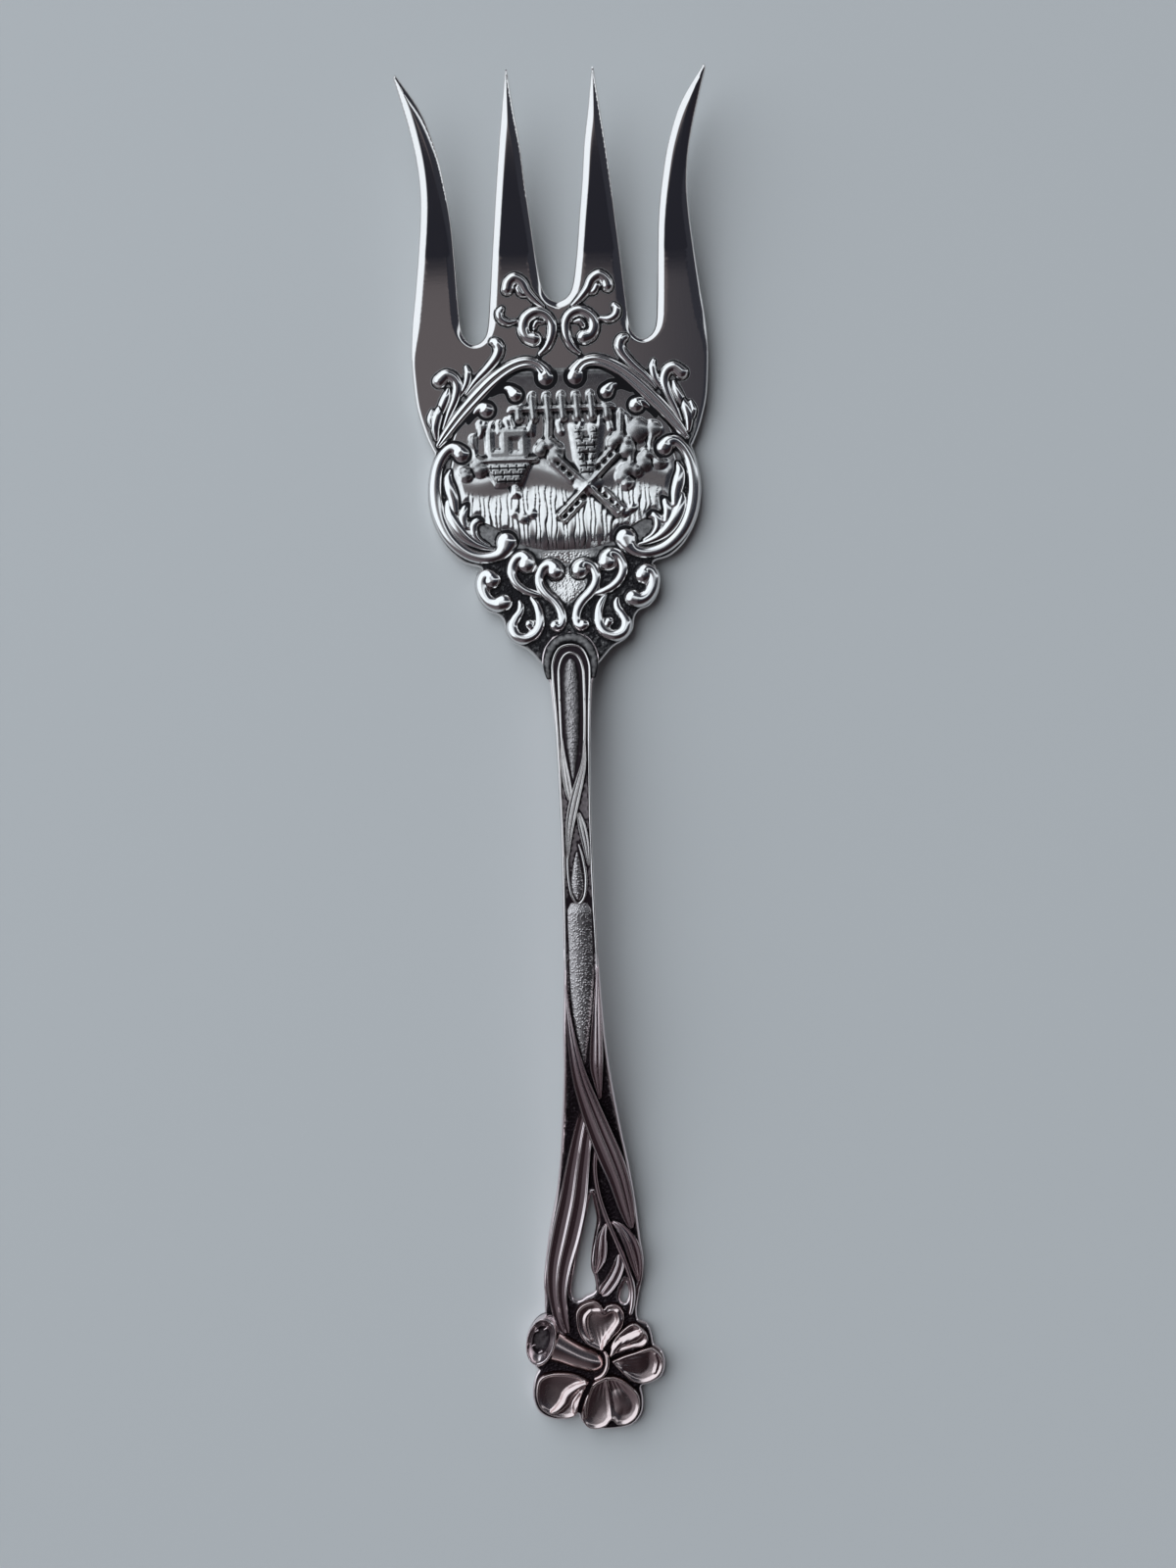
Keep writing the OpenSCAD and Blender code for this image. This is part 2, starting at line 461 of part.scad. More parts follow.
module left_blade_lower()
    color(warm_silver) handle_stroke(on_spray([[-1.5, -9.4, 0.2], [-1.5, -12, 0.85], [-1.6, -16, 1.75],
        [-2.5, -21, 2.2], [-3.7, -26, 2.2], [-4.9, -31, 1.85], [-5.4, -35, 1.55], [-5, -39, 1.25],
        [-4.4, -41, 0.6]]), blade_h);

module stalk()
    color(warm_silver) handle_stroke(on_spray([[1.1, -15.6, 0.3], [1.25, -19, 0.4], [2.3, -24.5, 0.42],
        [3.7, -28, 0.42], [4.9, -31.5, 0.42], [5.9, -34.2, 0.42], [6, -36.5, 0.42], [5.5, -38.8, 0.35]]),
        leaf_h);

module sheath_leaf()
    color(warm_silver) handle_stroke(on_spray([[4.2, -25.6, 0.15], [5.2, -27, 0.55], [6.1, -28.9, 0.8],
        [6.7, -31, 0.7], [6.95, -33, 0.35], [6.9, -34, 0.15]]), leaf_h);

module bud_leaf()
    color(warm_silver) handle_stroke(on_spray([[1.6, -25.6, 0.15], [1.4, -27, 0.55], [1.35, -29, 0.85],
        [1.15, -31, 0.75], [0.6, -32.4, 0.2]]), leaf_h);

module short_leaf()
    color(warm_silver) handle_stroke(on_spray([[3.6, -30.6, 0.12], [3.3, -32, 0.6], [2.5, -34, 0.85],
        [1.8, -35.4, 0.7], [1.5, -36, 0.35]]), leaf_h);

module petal(knots) color(warm_silver) handle_stroke(on_flower(knots), petal_h);
module top_petal()
    petal([[1.1, 1.7, 0.3], [0.7, 3.5, 1.9], [0.5, 5.5, 3], [0.5, 7.2, 3], [0.6, 8.6, 1.8],
        [0.7, 9.2, 0.6]]);
module upper_right_petal()
    petal([[2.5, 1.7, 0.25], [3.9, 2.9, 0.75], [5.4, 4, 1.15], [6.7, 4.7, 1], [7.5, 5.1, 0.4]]);
module right_petal()
    petal([[2.7, 0, 0.3], [4.5, -0.2, 1.4], [6.5, -0.4, 2.3], [8.4, -0.5, 2.3], [9.6, -0.4, 1.5],
        [10.1, -0.3, 0.5]]);
module bottom_petal()
    petal([[1.5, -1.5, 0.25], [1.6, -2.9, 1.4], [2, -4.6, 2.8], [2.1, -6.4, 3.8], [2, -8, 3.8],
        [1.9, -9.2, 2.4], [1.9, -9.8, 0.8]]);
module lower_left_petal()
    petal([[-1, -2.7, 0.25], [-2.6, -3.5, 1.1], [-4.4, -4.4, 2.3], [-6.3, -4.9, 2.9], [-8, -5.1, 2.2],
        [-8.9, -5.2, 0.8]]);

module trumpet_tube()
    color(warm_silver) handle_stroke(on_flower([[0.9, -0.7, 0.5], [-0.5, 0, 1], [-2.5, 0.8, 1.3],
        [-4.3, 1.7, 1.8], [-5.7, 2.4, 2.3]]), trumpet_h);

// Oval mouth of the trumpet, with its stamens
mouth = [-8, 3.5];
mouth_r = [1.55, 2.9];
mouth_turn = -20;
rim_half = 0.35;
rim_h = trumpet_h * 0.7;
rim_knots = 16;
function on_mouth(r, turn) =
    let (x = mouth_r[0] * r * cos(turn), y = mouth_r[1] * r * sin(turn))
    mouth + [x * cos(mouth_turn) - y * sin(mouth_turn), x * sin(mouth_turn) + y * cos(mouth_turn)];
module trumpet_rim()
    color(warm_silver) stroke(on_flower([for (i = [0 : rim_knots]) let (p = on_mouth(1, 360 * i / rim_knots))
        [p[0], p[1], rim_half]]), rim_h, handle_seat, closed = true);
stamen_turns = [70, 140, 215, 290];
stamen_reach = 0.5;
stamen_r = 0.32;
module stamens()
    color(warm_silver) for (turn = stamen_turns) let (p = on_flower([on_mouth(stamen_reach, turn)])[0])
        translate([p[0], p[1], handle_seat(p[1])]) cylinder(r = stamen_r, h = leaf_h, $fn = 24);

tined_head();
scene_plaque();
scene_mill();
scene_cottage();
scene_trees();
scene_fence();
border_scroll_right();
border_scroll_left();
border_leaf_right();
border_leaf_left();
arch_scroll_right();
arch_scroll_left();
arch_tendril_right();
arch_tendril_left();
inner_curls_right();
inner_curls_left();
shoulder_curl_right();
shoulder_curl_left();
shoulder_leaf_right();
shoulder_leaf_left();
crown_scroll_right();
crown_scroll_left();
crown_leaf_right();
crown_leaf_left();
heart_scroll_right();
heart_scroll_left();
neck_scroll_right();
neck_scroll_left();
neck_loop_right();
neck_loop_left();
side_volute_right();
side_volute_left();
handle_plate();
throat_arch();
edge_bead();
bead_loop();
bead_tail();
upper_panel();
drop_panel();
lower_panel();
right_blade();
left_blade_upper();
left_blade_lower();
stalk();
sheath_leaf();
bud_leaf();
short_leaf();
top_petal();
upper_right_petal();
right_petal();
bottom_petal();
lower_left_petal();
trumpet_tube();
trumpet_rim();
stamens();
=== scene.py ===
# %% [markdown]
# # A serving fork in oxidised silver
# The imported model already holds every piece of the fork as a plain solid. This lesson dresses
# those solids: the plates get soft edges, the scrolls get real sections and round ends, the
# picture in the bowl becomes a fine relief, and all of it gets the look of polished, blackened
# silver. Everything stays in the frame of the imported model, in metres, so a piece is never fitted
# by eye.

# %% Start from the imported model
import math

import bpy
import numpy as np
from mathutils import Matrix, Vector
from mathutils.geometry import delaunay_2d_cdt


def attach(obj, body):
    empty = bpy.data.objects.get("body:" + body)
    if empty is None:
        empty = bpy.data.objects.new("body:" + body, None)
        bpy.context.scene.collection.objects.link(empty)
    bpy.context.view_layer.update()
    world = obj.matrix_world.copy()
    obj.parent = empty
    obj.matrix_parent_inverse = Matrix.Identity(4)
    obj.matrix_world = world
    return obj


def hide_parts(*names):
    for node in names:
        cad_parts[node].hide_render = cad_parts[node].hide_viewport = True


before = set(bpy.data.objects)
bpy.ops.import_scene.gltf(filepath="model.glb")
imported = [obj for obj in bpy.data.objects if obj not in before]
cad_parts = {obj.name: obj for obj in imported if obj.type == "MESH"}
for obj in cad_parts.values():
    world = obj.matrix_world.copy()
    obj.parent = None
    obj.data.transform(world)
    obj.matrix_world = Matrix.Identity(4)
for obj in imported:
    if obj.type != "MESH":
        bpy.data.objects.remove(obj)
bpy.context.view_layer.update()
MM = 0.001
print("nodes in the packed model:", len(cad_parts))

# %% [markdown]
# ## The long curve of the fork
# The head is rolled to one large radius, so its lowest point is under the bowl, and the handle
# rises from the lap joint to a shallow arch and comes down again at the flower. Every piece sits
# on this curve, so it is written once, as heights above the table for a place along the fork. The
# drawing is in millimetres, with its zero 1 mm from the middle of the fork towards the flower. It
# becomes metres, counted from the middle, only when a mesh is made.

# %% Heights of the plates
HEAD_RADIUS, REST_Y, HEAD_T, TIP_T = 230.0, 41.0, 2.2, 1.2
LAP_Y, CREST_Y, HEEL_Y, SPRAY_Y = 9.5, -35.25, -80.0, -44.0
LAP_T, ARCH_H, SPRAY_T, THIN_L = 1.0, 3.5, 1.8, 18.0
ROOT_Y, TINE_L, TINE_DRAWN = 63.0, 39.0, 37.0
TAPER_Y, TIP_Y = ROOT_Y + TINE_L / 3, ROOT_Y + TINE_L + 1
DRAWN_MIDDLE = 1.0


def head_arc(y, inset):
    """Height on a circle of the head's radius less an inset: radius minus the root of
    (radius - inset) squared minus the distance along the fork squared."""
    return HEAD_RADIUS - np.sqrt((HEAD_RADIUS - inset) ** 2 - (y - REST_Y) ** 2)


def head_back(y):
    """The head's back is the circle itself."""
    return head_arc(y, 0.0)


def head_top(y):
    """The head's face is the inner circle, cut down to a straight line towards the tips."""
    y0, z0 = TAPER_Y, head_arc(TAPER_Y, HEAD_T)
    z1 = head_arc(TIP_Y, 0.0) + TIP_T
    flat = z0 + (z1 - z0) * (y - y0) / (TIP_Y - y0)
    return np.where(y > y0, flat, head_arc(y, HEAD_T))


def ease(a, slope, b, span, s):
    """Cubic from height a with a slope to height b, flat there, as s goes from 0 to 1."""
    return (a * (2 * s**3 - 3 * s**2 + 1) + slope * span * (s**3 - 2 * s**2 + s)
            + b * (3 * s**2 - 2 * s**3))


def handle_back(y):
    """The handle's back: the head's circle over the lap, an ease up to the crest, then an ease down
    to 0."""
    slope = (REST_Y - LAP_Y) / math.sqrt(HEAD_RADIUS**2 - (REST_Y - LAP_Y) ** 2)
    rise, fall = LAP_Y - CREST_Y, CREST_Y - HEEL_Y
    up = ease(head_arc(LAP_Y, 0.0), slope, ARCH_H, rise, np.clip((LAP_Y - y) / rise, 0, 1))
    down = ease(ARCH_H, 0.0, 0.0, fall, np.clip((CREST_Y - y) / fall, 0, 1))
    return np.where(y >= LAP_Y, head_back(y), np.where(y >= CREST_Y, up, down))


def handle_top(y):
    """The handle's face: its back plus a thickness that thins from the shank to the spray."""
    thick = ease(HEAD_T + LAP_T, 0.0, SPRAY_T, THIN_L, np.clip((SPRAY_Y - y) / THIN_L, 0, 1))
    return np.where(y >= LAP_Y, head_arc(y, HEAD_T) + LAP_T, handle_back(y) + thick)


print("rise of the tips, mm:", round(float(head_back(np.array(TIP_Y - 1))), 2))

# %% [markdown]
# ## Paths
# A silversmith draws a scroll as one swinging line and swells it as it goes. Here a path is a few
# knots of place and half-width, and a smooth curve through them fills in the rest.

# %% Curves through knots
def spline(knots, steps=8):
    """Catmull-Rom curve: between knots b and c, with a before and d after, the point is half of
    2b + (c-a)s + (2a-5b+4c-d)s^2 + (3b-a-3c+d)s^3, as s goes from 0 to 1."""
    k = np.asarray(knots, float)
    k = np.vstack([k[:1], k, k[-1:]])
    a, b, c, d = (k[i:len(k) - 3 + i, None, :] for i in range(4))
    s = (np.arange(steps) / steps)[None, :, None]
    run = 0.5 * (2 * b + (c - a) * s + (2 * a - 5 * b + 4 * c - d) * s**2
                 + (3 * b - a - 3 * c + d) * s**3)
    return np.vstack([run.reshape(-1, k.shape[1]), k[-1:]])


def length_so_far(path):
    """The length of a path up to each of its points: the sum of the steps before it."""
    return np.concatenate([[0], np.cumsum(np.linalg.norm(np.diff(path[:, :2], axis=0), axis=1))])


def even(path, step):
    """The same path with its points an even step apart, by its length so far."""
    run = length_so_far(path)
    at = np.linspace(0, run[-1], max(int(round(run[-1] / step)), 3) + 1)
    return np.stack([np.interp(at, run, path[:, i]) for i in range(path.shape[1])], 1)


def raised(knots, y0):
    """Moves drawn knots along the fork to the section that starts at y0."""
    k = np.array(knots, float)
    k[:, 1] += y0
    return k


def mirrored(knots):
    """The same knots on the other side of the fork."""
    return np.asarray(knots, float) * np.array([-1.0, 1.0, 1.0][:np.shape(knots)[1]])


def smooth(a, b, x):
    """Smooth step from 0 at a to 1 at b: 3t^2 - 2t^3."""
    t = np.clip((x - a) / (b - a), 0, 1)
    return t * t * (3 - 2 * t)


print("points on a sample path:", len(spline([[0, 0, 1], [1, 2, 1], [0, 4, 1]])))

# %% [markdown]
# ## Turning arrays into pieces
# Blender needs corners and faces. A grid of points becomes quads with one formula on whole arrays,
# and several grids can be joined into one piece. Each point also carries two numbers. Its recess
# is 0 on a rubbed high place and 1 in a hollow where the black stays, and its matte is 1 where the
# ground is punched all over. The materials read both.

# %% From grids to a finished piece
def grid_faces(n, m, wrap):
    """Quads of an n by m grid of points: row i, column j to its neighbours, wrapped across if
    asked."""
    i, j = np.meshgrid(np.arange(n - 1), np.arange(m if wrap else m - 1), indexing="ij")
    k = (j + 1) % m
    corners = [i * m + j, i * m + k, (i + 1) * m + k, (i + 1) * m + j]
    return np.stack(corners, -1).reshape(-1, 4).tolist()


def end_caps(n, m):
    """Faces over the first and the last row of an n by m grid that wraps across."""
    return [list(range(m))[::-1], [(n - 1) * m + j for j in range(m)]]


def dressed(name, parts, material, slot, nodes, sharp=38, matte=0.0):
    """One object from several (points, faces, recess) parts, standing for the given nodes."""
    starts = np.cumsum([0] + [len(p[0]) for p in parts])
    faces = [[v + int(s) for v in f] for p, s in zip(parts, starts) for f in p[1]]
    mesh = bpy.data.meshes.new(name)
    points = np.vstack([p[0] for p in parts]) - [0.0, DRAWN_MIDDLE, 0.0]
    mesh.from_pydata((points * MM).tolist(), [], faces)
    marks = {"recess": np.concatenate([p[2] for p in parts]),
             "matte": np.broadcast_to(matte, starts[-1])}
    for label, values in marks.items():
        mark = mesh.attributes.new(label, "FLOAT", "POINT")
        mark.data.foreach_set("value", np.ascontiguousarray(values, dtype=np.float32))
    mesh.shade_smooth()
    mesh.set_sharp_from_angle(angle=math.radians(sharp))
    mesh.materials.append(material)
    obj = bpy.data.objects.new(name, mesh)
    bpy.context.scene.collection.objects.link(obj)
    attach(obj, "root")
    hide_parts(*nodes)
    return obj


print("faces of a 3 by 4 grid:", len(grid_faces(3, 4, False)))

# %% [markdown]
# ## Long raised work: a section carried along a path
# The beads, straps and blades of the handle are long and gently bent, so a section carried along a
# path makes them: a round bead, a ribbon with ribs, or a low dome for a panel. A section is a row
# of points from one foot over the top to the other foot, and it comes with its bare range: the
# heights between which the black gives way to bare metal. Every piece reaches a little under its
# seat, so that no light shows between them.

# %% The sections
ACROSS = np.linspace(-1, 1, 61)
SUNK = 0.06


def section(rise):
    """A closed section: the rise over the way across, then two points just under the seat."""
    top = np.stack([ACROSS, rise], 1)
    return np.vstack([top, [[0.9, -SUNK], [-0.9, -SUNK]]])


def bump_at(centre, width):
    """A bell of height 1 across the section: e to the minus ((s - centre) / width) squared."""
    return np.exp(-(((ACROSS - centre) / width) ** 2))


FOOT = smooth(0, 0.1, 1 - np.abs(ACROSS))


def ribbed(bare, valley, width, *ribs):
    """A strap: a valley of the given height with ribs of height 1, or their own share, across it.
    Between ribs the valley is a little hollow."""
    bells = np.maximum.reduce([share * bump_at(at, width) for at, share in ribs])
    apart = np.minimum.reduce([np.abs(ACROSS - at) for at, _ in ribs])
    rise = valley + (1 - valley) * bells - 0.12 * np.minimum(apart, 0.5)
    return section(FOOT * rise), bare


RUBBED = (0.0, 0.4)
BEAD = section(1 - ACROSS**2), RUBBED
WALLED = section(FOOT * (0.86 + 0.14 * (1 - ACROSS**2))), RUBBED
# The throat arch's band: its bare range leaves it mostly black, painted shade for the dark room
# that the polished band reflects.
PAINTED_DARK_BAND = WALLED[0], (0.6, 1.8)
DOMED = section((1 - np.abs(ACROSS) ** 2.2) ** 0.9), RUBBED
DIM_DOME = DOMED[0], (-0.4, 2.7)
ROUND = section((1 - ACROSS**2) ** 0.75), (0.0, 0.6)
ROD = section(FOOT * (0.6 + 0.4 * (1 - ACROSS**2))), RUBBED
RIBBON = ribbed((0.35, 0.75), 0.6, 0.16, (-0.82, 1), (0.0, 0.9), (0.82, 1))
BLADE = ribbed((0.38, 0.9), 0.8, 0.1, (0.9, 1), (0.02, 0.98), (-0.55, 0.88), (-0.9, 0.95))
TWIN_BLADE = ribbed((0.4, 0.92), 0.8, 0.085, (0.9, 1), (0.0, 1), (-0.9, 0.96))
LEAF = ribbed((0.38, 0.85), 0.75, 0.12, (0.88, 1), (0.1, 0.95), (-0.88, 0.97))
print("points in a section:", len(BEAD[0]))


# %% Carrying a section along a path
FAR = 9.0


def carried(knots, profile, height, seat, step=0.2, blunt=(False, False)):
    """Carries a section along a path. A point is the path's place plus the way across times the
    half-width times s, and its height is the seat there plus the section's z times the height,
    which follows the root of the half-width as the path swells. An end closes like a ball unless it
    is blunt. The recess goes from 1 to 0 over the bare range of the section's z."""
    outline, bare = profile
    path = even(spline(knots), step)
    xy, half = path[:, :2], path[:, 2].copy()
    run = length_so_far(xy)
    near = np.minimum(run + FAR * blunt[0], run[-1] - run + FAR * blunt[1])
    t = np.clip(near / np.maximum(half, 0.15), 0, 1)
    half = np.maximum(half * np.sqrt(1 - (1 - t) ** 2), 0.01)
    way = np.gradient(xy, axis=0)
    way /= np.maximum(np.linalg.norm(way, axis=1, keepdims=True), 1e-9)
    side = np.stack([way[:, 1], -way[:, 0]], 1)
    s, z = outline[:, 0], outline[:, 1]
    place = xy[:, None, :] + side[:, None, :] * (half[:, None] * s[None, :])[:, :, None]
    lift = height * np.sqrt(half / path[:, 2].max())
    rise = np.where(z > 0, z * lift[:, None], z)
    points = np.concatenate([place, (seat(place[..., 1]) + rise)[..., None]], 2)
    n, m = points.shape[:2]
    recess = np.broadcast_to(1 - smooth(bare[0], bare[1], z), (n, m))
    return points.reshape(-1, 3), grid_faces(n, m, True) + end_caps(n, m), recess.reshape(-1)


short_bead = carried([[0, 0, 1], [0, 4, 1]], BEAD, 1, head_top)
print("points in a short bead:", len(short_bead[0]))

# %% [markdown]
# ## Curling raised work: a form round its drawn line
# A scroll that curls into a fat bulb can't be a carried section, because the section would fold
# over itself in the curl. Here the form is worked out the other way round. For every point of a
# fine grid, q is the distance to the drawn line counted in half-widths of the line there. The
# height is a round back, highest at q = 0 and down at the plate at q = 1, and grid points just
# outside are drawn onto the edge. Where lines overlap the higher one wins, and the crease between
# them keeps its black.

# %% Forms round drawn lines
def by_chunks(work, points, size=1500):
    """Runs a formula on a few points at a time, so that its big arrays stay small."""
    return np.concatenate([work(c) for c in np.array_split(points, max(len(points) // size, 1))])


def nearest_way(points, path):
    """For each point, its place against the nearest part of a path: q, which is distance over
    half-width at its least, the half-width there, q with a sign for left or right, and the foot."""
    a, run = path[:-1], np.diff(path, axis=0)
    length = np.maximum((run[:, :2] ** 2).sum(1), 1e-12)

    def work(p):
        off_x, off_y = p[:, :1] - a[:, 0], p[:, 1:] - a[:, 1]
        t = np.clip((off_x * run[:, 0] + off_y * run[:, 1]) / length, 0, 1)
        half = a[:, 2] + t * run[:, 2]
        off_x, off_y = off_x - t * run[:, 0], off_y - t * run[:, 1]
        q = np.sqrt(off_x**2 + off_y**2) / half
        k = q.argmin(1)
        i = np.arange(len(p))
        q, ox, oy = q[i, k], off_x[i, k], off_y[i, k]
        hand = np.where(run[k, 0] * oy - run[k, 1] * ox > 0, 1, -1)
        return np.stack([q, half[i, k], q * hand, p[:, 0] - ox, p[:, 1] - oy], 1)
    return by_chunks(work, points)


def trace_gap(points, traces):
    """Distance from the nearest drawn line: to each point of its trace, less the half-width
    there."""
    def nearest(p):
        return (np.sqrt(((p[:, None] - traces[:, :2]) ** 2).sum(2)) - traces[:, 2]).min(1)
    return by_chunks(nearest, points, 800)


def round_back(q, side, half):
    """A round back with a broad top: 1 - q cubed."""
    return 1 - q**3


def gouged_back(q, side, half):
    """A broad band with a groove along it: a flat-topped back less a bell beside the middle, where
    the line is not yet a bulb."""
    band = smooth(1.5, 1.3, half)
    groove = 0.34 * np.exp(-(((side - 0.1) / 0.2) ** 2)) + 0.18 * smooth(0.1, 0.9, side)
    return (1 - q**3) * (1 - band * groove)


def open_edges(quads):
    """The sides of the quads that no other quad has, in the quads' own direction."""
    a, b = quads.reshape(-1), np.roll(quads, -1, 1).reshape(-1)
    big = int(quads.max()) + 1
    alone = ~np.isin(a * big + b, b * big + a)
    return np.stack([a[alone], b[alone]], 1)


def closed_over(flat, faces, sides, top, under):
    """A closed piece: the faces at their top height, the same faces turned round under them, and a
    wall on each of the sides."""
    n, (a, b) = len(flat), np.transpose(sides)
    walls = np.stack([a + n, b + n, b, a], 1)
    points = np.vstack([np.column_stack([flat, top]), np.column_stack([flat, under])])
    return points, faces.tolist() + (faces[:, ::-1] + n).tolist() + walls.tolist()


def modelled(strokes, back, height, seat, pitch=0.1):
    """A raised form round its strokes: the height is the seat plus the highest stroke's back at q
    times the height, which grows with the half-width to the power 0.75."""
    paths = [even(spline(s, 12), 0.09) for s in strokes]
    low = np.min([(p[:, :2] - p[:, 2:]).min(0) for p in paths], 0) - pitch
    high = np.max([(p[:, :2] + p[:, 2:]).max(0) for p in paths], 0) + 2 * pitch
    gx, gy = np.meshgrid(np.arange(low[0], high[0], pitch), np.arange(low[1], high[1], pitch))
    p = np.stack([gx.ravel(), gy.ravel()], 1)
    near = np.stack([nearest_way(p, path) for path in paths])
    rises = np.where(near[..., 0] < 1, height * np.minimum(near[..., 1], 1.3) ** 0.75
                     * back(np.minimum(near[..., 0], 1), near[..., 2], near[..., 1]), 0)
    best = near[near[..., 0].argmin(0), np.arange(len(p))]
    q, foot = best[:, 0], best[:, 3:5]
    flat = np.where((q > 1)[:, None], foot + (p - foot) / np.maximum(q, 1)[:, None], p)
    quads = np.array(grid_faces(*gx.shape, False))
    quads = quads[(q[quads] < 1).any(1)]
    used, quads = np.unique(quads, return_inverse=True)
    quads = quads.reshape(-1, 4)
    order = np.sort(np.vstack([rises, 0 * q[None]]), 0)
    first, second = order[-1], order[-2]
    crease = (1 - smooth(0.02, 0.14, first - second)) * (second > 0.1)
    recess = np.maximum(smooth(0.9, 1.02, q) * (first < 0.5 * height), crease)[used]
    flat = flat[used]
    ground = seat(flat[:, 1])
    points, faces = closed_over(flat, quads, open_edges(quads), ground + first[used], ground - SUNK)
    return points, faces, np.concatenate([recess, np.ones(len(used))])


def other_hand(part):
    """The same piece on the other side of the fork, with its faces turned so that they look
    outwards."""
    points, faces, recess = part
    return points * np.array([-1.0, 1, 1]), [f[::-1] for f in faces], recess


short_scroll = modelled([[[0, 40, 1], [1, 42, 0.5]]], round_back, 1, head_top)
print("points in a short scroll:", len(short_scroll[0]))

# %% [markdown]
# ## Finishes
# The fork is one metal with three finishes: bright polish on the tines, a warmer satin on the
# handle and flower, and black oxide wherever a polishing wheel can't reach. Wear is the same
# everywhere, so it is one node group: it takes the recess number, roughens its edge with noise and
# mixes metal with oxide. A second group gives the punched stipple and a third the hairline
# scratches of use. A few small helpers place the nodes, so that a group reads like a list of
# steps.

# %% Helpers that place nodes
def new_group(name, inputs, outputs):
    """An empty shader group with named sockets, and its input and output nodes."""
    group = bpy.data.node_groups.new(name, "ShaderNodeTree")
    for label, kind, value in inputs:
        socket = group.interface.new_socket(name=label, in_out="INPUT", socket_type=kind)
        socket.default_value = value
    for label, kind in outputs:
        group.interface.new_socket(name=label, in_out="OUTPUT", socket_type=kind)
    return group, group.nodes.new("NodeGroupInput"), group.nodes.new("NodeGroupOutput")


def math_node(tree, operation, a, b=None):
    """A math node whose inputs are sockets or plain numbers."""
    node = tree.nodes.new("ShaderNodeMath")
    node.operation = operation
    for i, value in enumerate([a, b]):
        if isinstance(value, (int, float)):
            node.inputs[i].default_value = value
        elif value is not None:
            tree.links.new(value, node.inputs[i])
    return node.outputs[0]


def ranged(tree, value, low, high, to_low, to_high):
    """Maps a value from one range to another, clamped."""
    node = tree.nodes.new("ShaderNodeMapRange")
    tree.links.new(value, node.inputs["Value"])
    ends = {"From Min": low, "From Max": high, "To Min": to_low, "To Max": to_high}
    for label, number in ends.items():
        if isinstance(number, (int, float)):
            node.inputs[label].default_value = number
        else:
            tree.links.new(number, node.inputs[label])
    return node.outputs["Result"]


def noise(tree, scale, detail, stretch=(1, 1, 1)):
    """Noise on the object's own coordinates, stretched if asked."""
    coords = tree.nodes.new("ShaderNodeTexCoord")
    turn = tree.nodes.new("ShaderNodeMapping")
    turn.inputs["Scale"].default_value = stretch
    node = tree.nodes.new("ShaderNodeTexNoise")
    node.inputs["Scale"].default_value = scale
    node.inputs["Detail"].default_value = detail
    tree.links.new(coords.outputs["Object"], turn.inputs["Vector"])
    tree.links.new(turn.outputs["Vector"], node.inputs["Vector"])
    return node.outputs["Fac"]


def blended(tree, share, a, b):
    """Mixes two colours, each a plain colour or a socket, by a share from 0 to 1."""
    node = tree.nodes.new("ShaderNodeMix")
    node.data_type = "RGBA"
    tree.links.new(share, node.inputs["Factor"])
    for socket, colour in ((node.inputs[6], a), (node.inputs[7], b)):
        if isinstance(colour, tuple):
            socket.default_value = colour
        else:
            tree.links.new(colour, socket)
    return node.outputs[2]


def uneven(tree, scale, detail, amount):
    """Noise round 0: its value less a half, times an amount."""
    centred = math_node(tree, "SUBTRACT", noise(tree, scale, detail), 0.5)
    return math_node(tree, "MULTIPLY", centred, amount)


print("node helpers:", [f.__name__ for f in (new_group, math_node, ranged, noise, blended, uneven)])

# %% Node groups
NUMBER, COLOUR = "NodeSocketFloat", "NodeSocketColor"
wear, wear_in, wear_out = new_group(
    "rubbed_oxide",
    [("Recess", NUMBER, 0.0), ("Bite", NUMBER, 0.5), ("Metal", COLOUR, (0.8, 0.8, 0.8, 1)),
     ("Oxide", COLOUR, (0.03, 0.03, 0.03, 1)), ("Bright", NUMBER, 0.15), ("Dull", NUMBER, 0.5)],
    [("Color", COLOUR), ("Roughness", NUMBER)])
speck, cloud = uneven(wear, 1500, 4, 0.3), uneven(wear, 110, 3, 0.12)
depth = math_node(wear, "ADD", math_node(wear, "ADD", wear_in.outputs["Recess"], speck), cloud)
low = math_node(wear, "SUBTRACT", 0.8, wear_in.outputs["Bite"])
mask = ranged(wear, depth, low, math_node(wear, "ADD", low, 0.45), 0.0, 1.0)
worn_colour = blended(wear, mask, wear_in.outputs["Metal"], wear_in.outputs["Oxide"])
wear.links.new(worn_colour, wear_out.inputs["Color"])
rough = ranged(wear, mask, 0.0, 1.0, wear_in.outputs["Bright"], wear_in.outputs["Dull"])
rough = math_node(wear, "ADD", rough, math_node(wear, "MULTIPLY", cloud, 0.35))
wear.links.new(rough, wear_out.inputs["Roughness"])

stipple, stipple_in, stipple_out = new_group(
    "punched_stipple", [("Pitch", NUMBER, 2600.0)], [("Height", NUMBER), ("Pits", NUMBER)])
coords = stipple.nodes.new("ShaderNodeTexCoord")
cells = stipple.nodes.new("ShaderNodeTexVoronoi")
stipple.links.new(coords.outputs["Object"], cells.inputs["Vector"])
stipple.links.new(stipple_in.outputs["Pitch"], cells.inputs["Scale"])
from_pit = cells.outputs["Distance"]
stipple.links.new(ranged(stipple, from_pit, 0.0, 0.6, 1.0, 0.0), stipple_out.inputs["Height"])
stipple.links.new(ranged(stipple, from_pit, 0.18, 0.5, 0.0, 0.85), stipple_out.inputs["Pits"])

